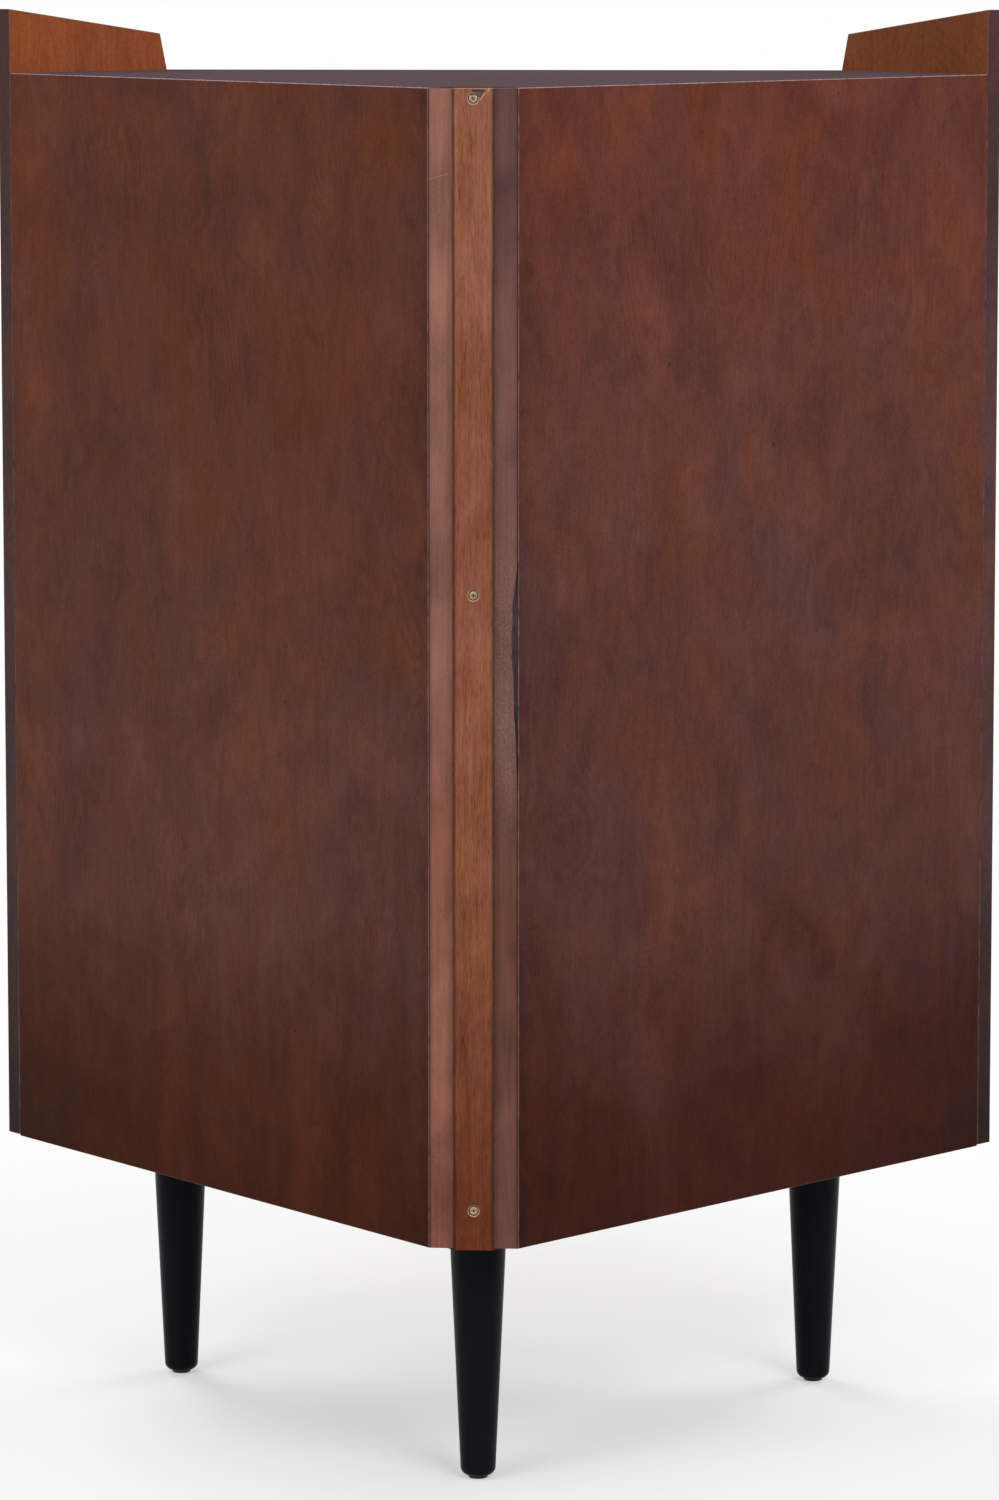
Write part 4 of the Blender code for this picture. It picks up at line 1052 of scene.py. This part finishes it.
def make_leg_metal(word, middle):
    """The plate that the leg hangs from, its four screws and the glide under the leg's foot."""
    node = word + "_leg_plate"
    low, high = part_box(node)
    turn = QUARTER / 2 if word == "rear" else 0
    side = (high.x - low.x) / (math.sqrt(2) if turn else 1)
    shape = prism(rectangle(side, side, LEG_PLATE_CORNER), low.z, high.z)
    ease(shape, PLATE_ARRIS)
    bmesh.ops.rotate(shape, matrix=Matrix.Rotation(turn, 3, "Z"), verts=shape.verts)
    slide(shape, middle.x, middle.y)
    show(node + "_steel", mesh_from(node, shape), [zinc], "case", "zinc_steel", node)
    for corner in ((-1, -1), (-1, 1), (1, -1), (1, 1)):
        arm = Matrix.Rotation(turn, 2) @ Vector(corner) * LEG_PLATE_SCREW_SPREAD
        place = (middle.x + arm.x, middle.y + arm.y, low.z - SCREW_CLEARANCE)
        leg_screws.append((place, DOWN, PLATE_SCREW_RADIUS))
    node = word + "_glide"
    low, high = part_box(node)
    radius = (high.x - low.x) / 2
    points = [(0, high.z), (GLIDE_PIN_RADIUS, high.z), (GLIDE_PIN_RADIUS, GLIDE_THICKNESS)]
    points += [(radius, GLIDE_THICKNESS), (radius, 0), (0, 0)]
    shape = slide(lathe(fillet(points, GLIDE_ROUND, 4, False), SMALL_FACETS), middle.x, middle.y)
    show(node + "_disc", mesh_from(node, shape, True), [nylon], "case", "black_nylon", node)


# Door furniture


def make_turned(name, node, points, round_off, finish, slot, place, direction=(0, 0, 1)):
    """A small turned piece of the case with rounded corners."""
    profile = fillet(points, round_off, 3, False)
    mesh = mesh_from(name, move(lathe(profile, SMALL_FACETS), place, direction), True)
    show(name, mesh, [finish], "case", slot, node)


def make_knob(word):
    node = word + "_knob"
    low, high, middle = span(node)
    radius = (high.x - low.x) / 2
    profile = [(r * radius, h * (high.y - low.y)) for r, h in KNOB_SHARES]
    shape = move(lathe(profile), (middle.x, high.y, middle.z), (0, -1, 0))
    mesh = mesh_from(node, shape, True)
    show(word + "_turned_knob", mesh, [aged_brass], word + "_door", "aged_brass", node)


def make_knob_screw(word):
    node = word + "_knob_screw"
    low, high, middle = span(node)
    face = high.y - KNOB_SCREW_HEAD_HEIGHT
    points = [(0, high.y - face), (KNOB_SCREW_HEAD_RADIUS, high.y - face), (KNOB_SCREW_HEAD_RADIUS, 0)]
    points += [(KNOB_SCREW_RADIUS, 0), (KNOB_SCREW_RADIUS, low.y - face), (0, low.y - face)]
    mesh = mesh_from(node, lathe(fillet(points, KNOB_SCREW_ROUND, 4, False), SMALL_FACETS))
    outline = cross_outline(KNOB_CROSS_REACH, KNOB_CROSS_ARM)
    mesh = carve(mesh, prism(outline, KNOB_CROSS_FLOOR, KNOB_CROSS_HEAD), [recess_shade])
    shape = bmesh.new()
    shape.from_mesh(mesh)
    move(shape, (middle.x, face, middle.z), REARWARD, KNOB_SCREW_TURN)
    mesh = mesh_from(node, shape, True)
    show(node + "_pan_head", mesh, [zinc, recess_shade], word + "_door", "zinc_steel", node)


def make_hinges(word, side):
    door = word + "_door"
    for level in ("upper", "lower"):
        name = f"{word}_{level}_hinge"
        pin_low, pin_high, pin = span(name + "_pin")
        for leaf, body, facing in (("_frame_leaf", "case", -side), ("_door_leaf", door, side)):
            node = name + leaf
            shape = solid_of(node)
            ease(shape, LEAF_ARRIS)
            show(node + "_plate", mesh_from(node, shape, True), [aged_brass], body, "aged_brass", node)
            low, high, middle = span(node)
            for share in LEAF_SCREW_SHARES:
                z = low.z + (high.z - low.z) * share
                place = (pin.x - facing * LEAF_SCREW_SINK, middle.y + LEAF_SCREW_OFFSET, z)
                small_screws[body].append((place, Vector((facing, 0, 0)), LEAF_SCREW_RADIUS))
        neck = pin_high.z - PIN_HEAD_HEIGHT
        points = [(0, pin_high.z), (PIN_HEAD_RADIUS, pin_high.z), (PIN_HEAD_RADIUS, neck)]
        points += [(PIN_RADIUS, neck), (PIN_RADIUS, pin_low.z), (0, pin_low.z)]
        place = (pin.x, pin.y, 0)
        make_turned(name + "_turned_pin", name + "_pin", points, PIN_ROUND, aged_brass, "aged_brass", place)


def make_catch(word):
    """A magnet block between two screwed ears, and the plate on the door that it holds."""
    node = word + "_magnetic_catch"
    low, high, middle = span(node)
    deep = high.y - low.y
    shape = prism(rectangle(CATCH_BLOCK_WIDTH, deep, CATCH_CORNER), low.z, high.z)
    ease(shape, PLATE_ARRIS)
    outline = rectangle(high.x - low.x, deep * EAR_DEPTH_SHARE, EAR_CORNER)
    ears = prism(outline, high.z - EAR_THICKNESS, high.z - MERGE_GAP)
    ease(ears, PLATE_ARRIS)
    both = bpy.data.meshes.new(node)
    ears.to_mesh(both)
    ears.free()
    shape.from_mesh(both)
    slide(shape, middle.x, middle.y)
    show(node + "_block", mesh_from(node, shape), [nylon], "case", "black_nylon", node)
    for word_end, end in (("lower", -1), ("upper", 1)):
        place = (middle.x, low.y - POLE_STAND, middle.z - POLE_DROP + end * POLE_SPREAD)
        plate = prism(rectangle(POLE_WIDTH, POLE_THICKNESS, POLE_CORNER), -POLE_LENGTH, 0.0)
        name = f"{node}_pole_{word_end}"
        mesh = mesh_from(name, move(plate, place, (0, -1, 0)))
        show(name, mesh, [zinc], "case", "zinc_steel")
        place = (middle.x + end * EAR_SCREW_SPREAD, middle.y, high.z - EAR_THICKNESS - SCREW_CLEARANCE)
        small_screws["case"].append((place, DOWN, CATCH_SCREW_RADIUS))
    node = word + "_strike_plate"
    low, high, middle = span(node)
    outline = rectangle(high.x - low.x, high.z - low.z, STRIKE_CORNER)
    shape = prism(outline, low.y - high.y, 0.0)
    ease(shape, LEAF_ARRIS)
    place = (middle.x, high.y, middle.z)
    mesh = mesh_from(node, move(shape, place, REARWARD))
    show(node + "_steel", mesh, [zinc], word + "_door", "zinc_steel", node)
    small_screws[word + "_door"].append((place, REARWARD, STRIKE_SCREW_RADIUS))


# Inside


def scalloped(node, radius):
    """An upright board with a scallop for each bottle."""
    low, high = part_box(node)
    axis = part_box("adjustable_shelf")[1].z + BOTTLE_AXIS_RISE
    dip = math.asin((axis - high.z) / radius)
    points = [(low.x, low.z), (high.x, low.z), (high.x, high.z)]
    for bay in reversed(range(BOTTLE_BAYS)):
        x = (bay - (BOTTLE_BAYS - 1) / 2) * BOTTLE_PITCH
        for step in range(SCALLOP_STEPS + 1):
            angle = -dip + (2 * dip - math.pi) * step / SCALLOP_STEPS
            points.append((x + radius * math.cos(angle), axis + radius * math.sin(angle)))
    points.append((low.x, high.z))
    return stand(prism(points, -high.y, -low.y))


def make_cradles():
    for word, radius in (("front", BODY_SCALLOP), ("rear", NECK_SCALLOP)):
        node = word + "_bottle_cradle"
        shape = scalloped(node, radius)
        shape.normal_update()
        rims = [edge for edge in shape.edges if edge.calc_face_angle() > RIM_ANGLE]
        bmesh.ops.bevel(shape, geom=rims, offset=BAR_ARRIS, **ROUNDED)
        mesh = mesh_from(node, shape)
        show(word + "_cradle_board", mesh, [woods["shelf_veneer"]], "case", "board_veneer", node)


def make_glass_rails():
    for number in (1, 2, 3, 4):
        node = f"glass_rail_{number}"
        dress_board(node + "_bar", node, [woods["shelf_veneer"]], arris=BAR_ARRIS)
        low, high, middle = span(node)
        for share in RAIL_SCREW_SHARES:
            place = (middle.x, low.y + (high.y - low.y) * share, low.z - SCREW_CLEARANCE)
            small_screws["case"].append((place, DOWN, PLATE_SCREW_RADIUS))


def make_shelf_pins():
    for word, side in SIDES.items():
        for end, y in (("rear", -1), ("front", 1)):
            direction = Vector((-side, y, 0)).normalized()
            node = f"{word}_{end}_shelf_pin"
            foot = -reach(node, -direction)
            length = reach(node, direction) - foot
            middle = span(node)[2]
            start = middle + direction * (foot - middle.dot(direction))
            points = [(0, length)]
            points += [(SHELF_PIN_RADIUS, z) for z in (length, COLLAR_HEAD)]
            points += [(COLLAR_RADIUS, z) for z in (COLLAR_HEAD, COLLAR_FOOT)]
            points += [(SHELF_PIN_RADIUS, z) for z in (COLLAR_FOOT, 0)]
            points += [(0, 0)]
            make_turned(node + "_peg", node, points, SHELF_PIN_ROUND, zinc, "zinc_steel", start, direction)


# Stage


def seen_rays(tree):
    """1 for rays that show the background: from the camera, or off metal and through glass."""
    path = tree.nodes.new("ShaderNodeLightPath")
    names = ("Is Camera Ray", "Is Glossy Ray", "Is Transmission Ray")
    camera, glossy, through = (Value(tree, path.outputs[name]) for name in names)
    return camera.larger(glossy).larger(through)


def make_floor():
    """A pale floor that stays white far off and keeps the cabinet's shadow near it."""
    shape = bmesh.new()
    bmesh.ops.create_circle(shape, cap_ends=True, radius=FLOOR_RADIUS, segments=96)
    floor = add_object("floor", mesh_from("floor", shape))
    pale = Finish("pale_floor", Specular_IOR_Level=0.0, Roughness=0.9)
    seen = seen_rays(pale)
    colour = pale.mix(seen, paint(0.42, 0.42, 0.43), paint(0.97, 0.97, 0.97))
    pale.feed(pale.shader.inputs["Base Color"], colour)
    flat = pale.node("ShaderNodeVectorMath", {"operation": "LENGTH"}, {0: pale.place}, "Value")
    white = pale.node("ShaderNodeEmission", {}, {"Color": paint(1, 1, 1), "Strength": 1.0})
    lit = Value(pale, pale.shader.outputs[0])
    share = (NEAR_WHITE_SHARE + flat.climb(SHADOW_REACH, WHITE_REACH) * (1 - NEAR_WHITE_SHARE)) * seen
    both = pale.node("ShaderNodeMixShader", {}, {0: share, 1: lit, 2: white})
    pale.feed(pale.nodes["Material Output"].inputs["Surface"], both)
    floor.data.materials.append(pale.material)


def make_world(ambient):
    world = bpy.data.worlds.new("studio")
    bpy.context.scene.world = world
    world.use_nodes = True
    tree = Tree(world.node_tree)
    background = tree.nodes["Background"]
    tree.feed(background.inputs["Color"], paint(1.0, 1.0, 1.0))
    tree.feed(background.inputs["Strength"], ambient + seen_rays(tree) * (1 - ambient))


def make_light(name, place, target, power):
    lamp = bpy.data.lights.new(name, "AREA")
    lamp.shape = "RECTANGLE"
    lamp.size, lamp.size_y = LIGHT_SIZE
    lamp.energy = power
    holder = add_object(name, lamp)
    holder.location = place
    holder.rotation_euler = (Vector(target) - Vector(place)).to_track_quat("-Z", "Y").to_euler()


def make_camera():
    camera = bpy.data.cameras.new("camera")
    camera.sensor_width = SENSOR_WIDTH
    camera.lens = FOCAL_PX * SENSOR_WIDTH / FRAME_HEIGHT_PX
    camera.shift_y = RISE_SHARE
    camera.clip_end = CAMERA_REACH
    holder = add_object("camera", camera)
    corner_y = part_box("right_back_panel")[1].y + REAR_FLAT_SETBACK
    holder.location = (CAMERA_X, corner_y + CAMERA_BEHIND_CORNER, CAMERA_HEIGHT)
    level = math.cos(CAMERA_PITCH)
    gaze = Vector((math.sin(CAMERA_YAW) * level, -math.cos(CAMERA_YAW) * level, -math.sin(CAMERA_PITCH)))
    holder.rotation_euler = gaze.to_track_quat("-Z", "Y").to_euler()
    bpy.context.scene.camera = holder


# The cabinet


make_back_panels()
make_side_panels()
make_shelves()
make_front()
make_post()

screw_tree = screw_set_tree()
long_screw = screw_pattern("long_screw", POST_SCREW_LENGTH / POST_SCREW_RADIUS)
short_screw = screw_pattern("short_screw", SHORT_SCREW_SHARE)
rear_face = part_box("corner_post")[1].y - POST_SCREW_SINK
post_nodes = ["post_screw_" + level for level in POST_LEVELS]
post_middles = [span(node)[2] for node in post_nodes]
post_places = [((middle.x, rear_face, middle.z), REARWARD, POST_SCREW_RADIUS) for middle in post_middles]
screw_set("post_screws", post_places, long_screw, pale_brass, "case", "aged_brass", *post_nodes)

# The random turn of each cross follows the screws' order, with those of the leg plates last
small_screws = {"case": [], "right_door": [], "left_door": []}
leg_screws = []
make_legs()
for word, side in SIDES.items():
    make_knob(word)
    make_knob_screw(word)
    make_hinges(word, side)
    make_catch(word)
make_cradles()
make_glass_rails()
make_shelf_pins()
small_screws["case"] += leg_screws
for body, places in small_screws.items():
    screw_set(body + "_screws", places, short_screw, zinc, body, "zinc_steel")
for pattern in (long_screw, short_screw):
    bpy.data.objects.remove(pattern)
for word in LEGS:
    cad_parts[word + "_leg_bolt"].material_slots[0].material = zinc

bpy.context.scene.view_settings.view_transform = "Standard"
make_floor()
make_world(AMBIENT)
make_light("key", (-1.7, 2.5, 2.7), (0, 0.1, 0.85), 48)
make_light("fill", (2.1, 2.2, 2.5), (0, 0.1, 0.8), 34)
make_light("front_key", (1.9, -2.6, 2.7), (0, 0, 0.7), 50)
make_light("front_fill", (-2.4, -2.0, 2.3), (0, 0, 0.7), 34)
make_camera()
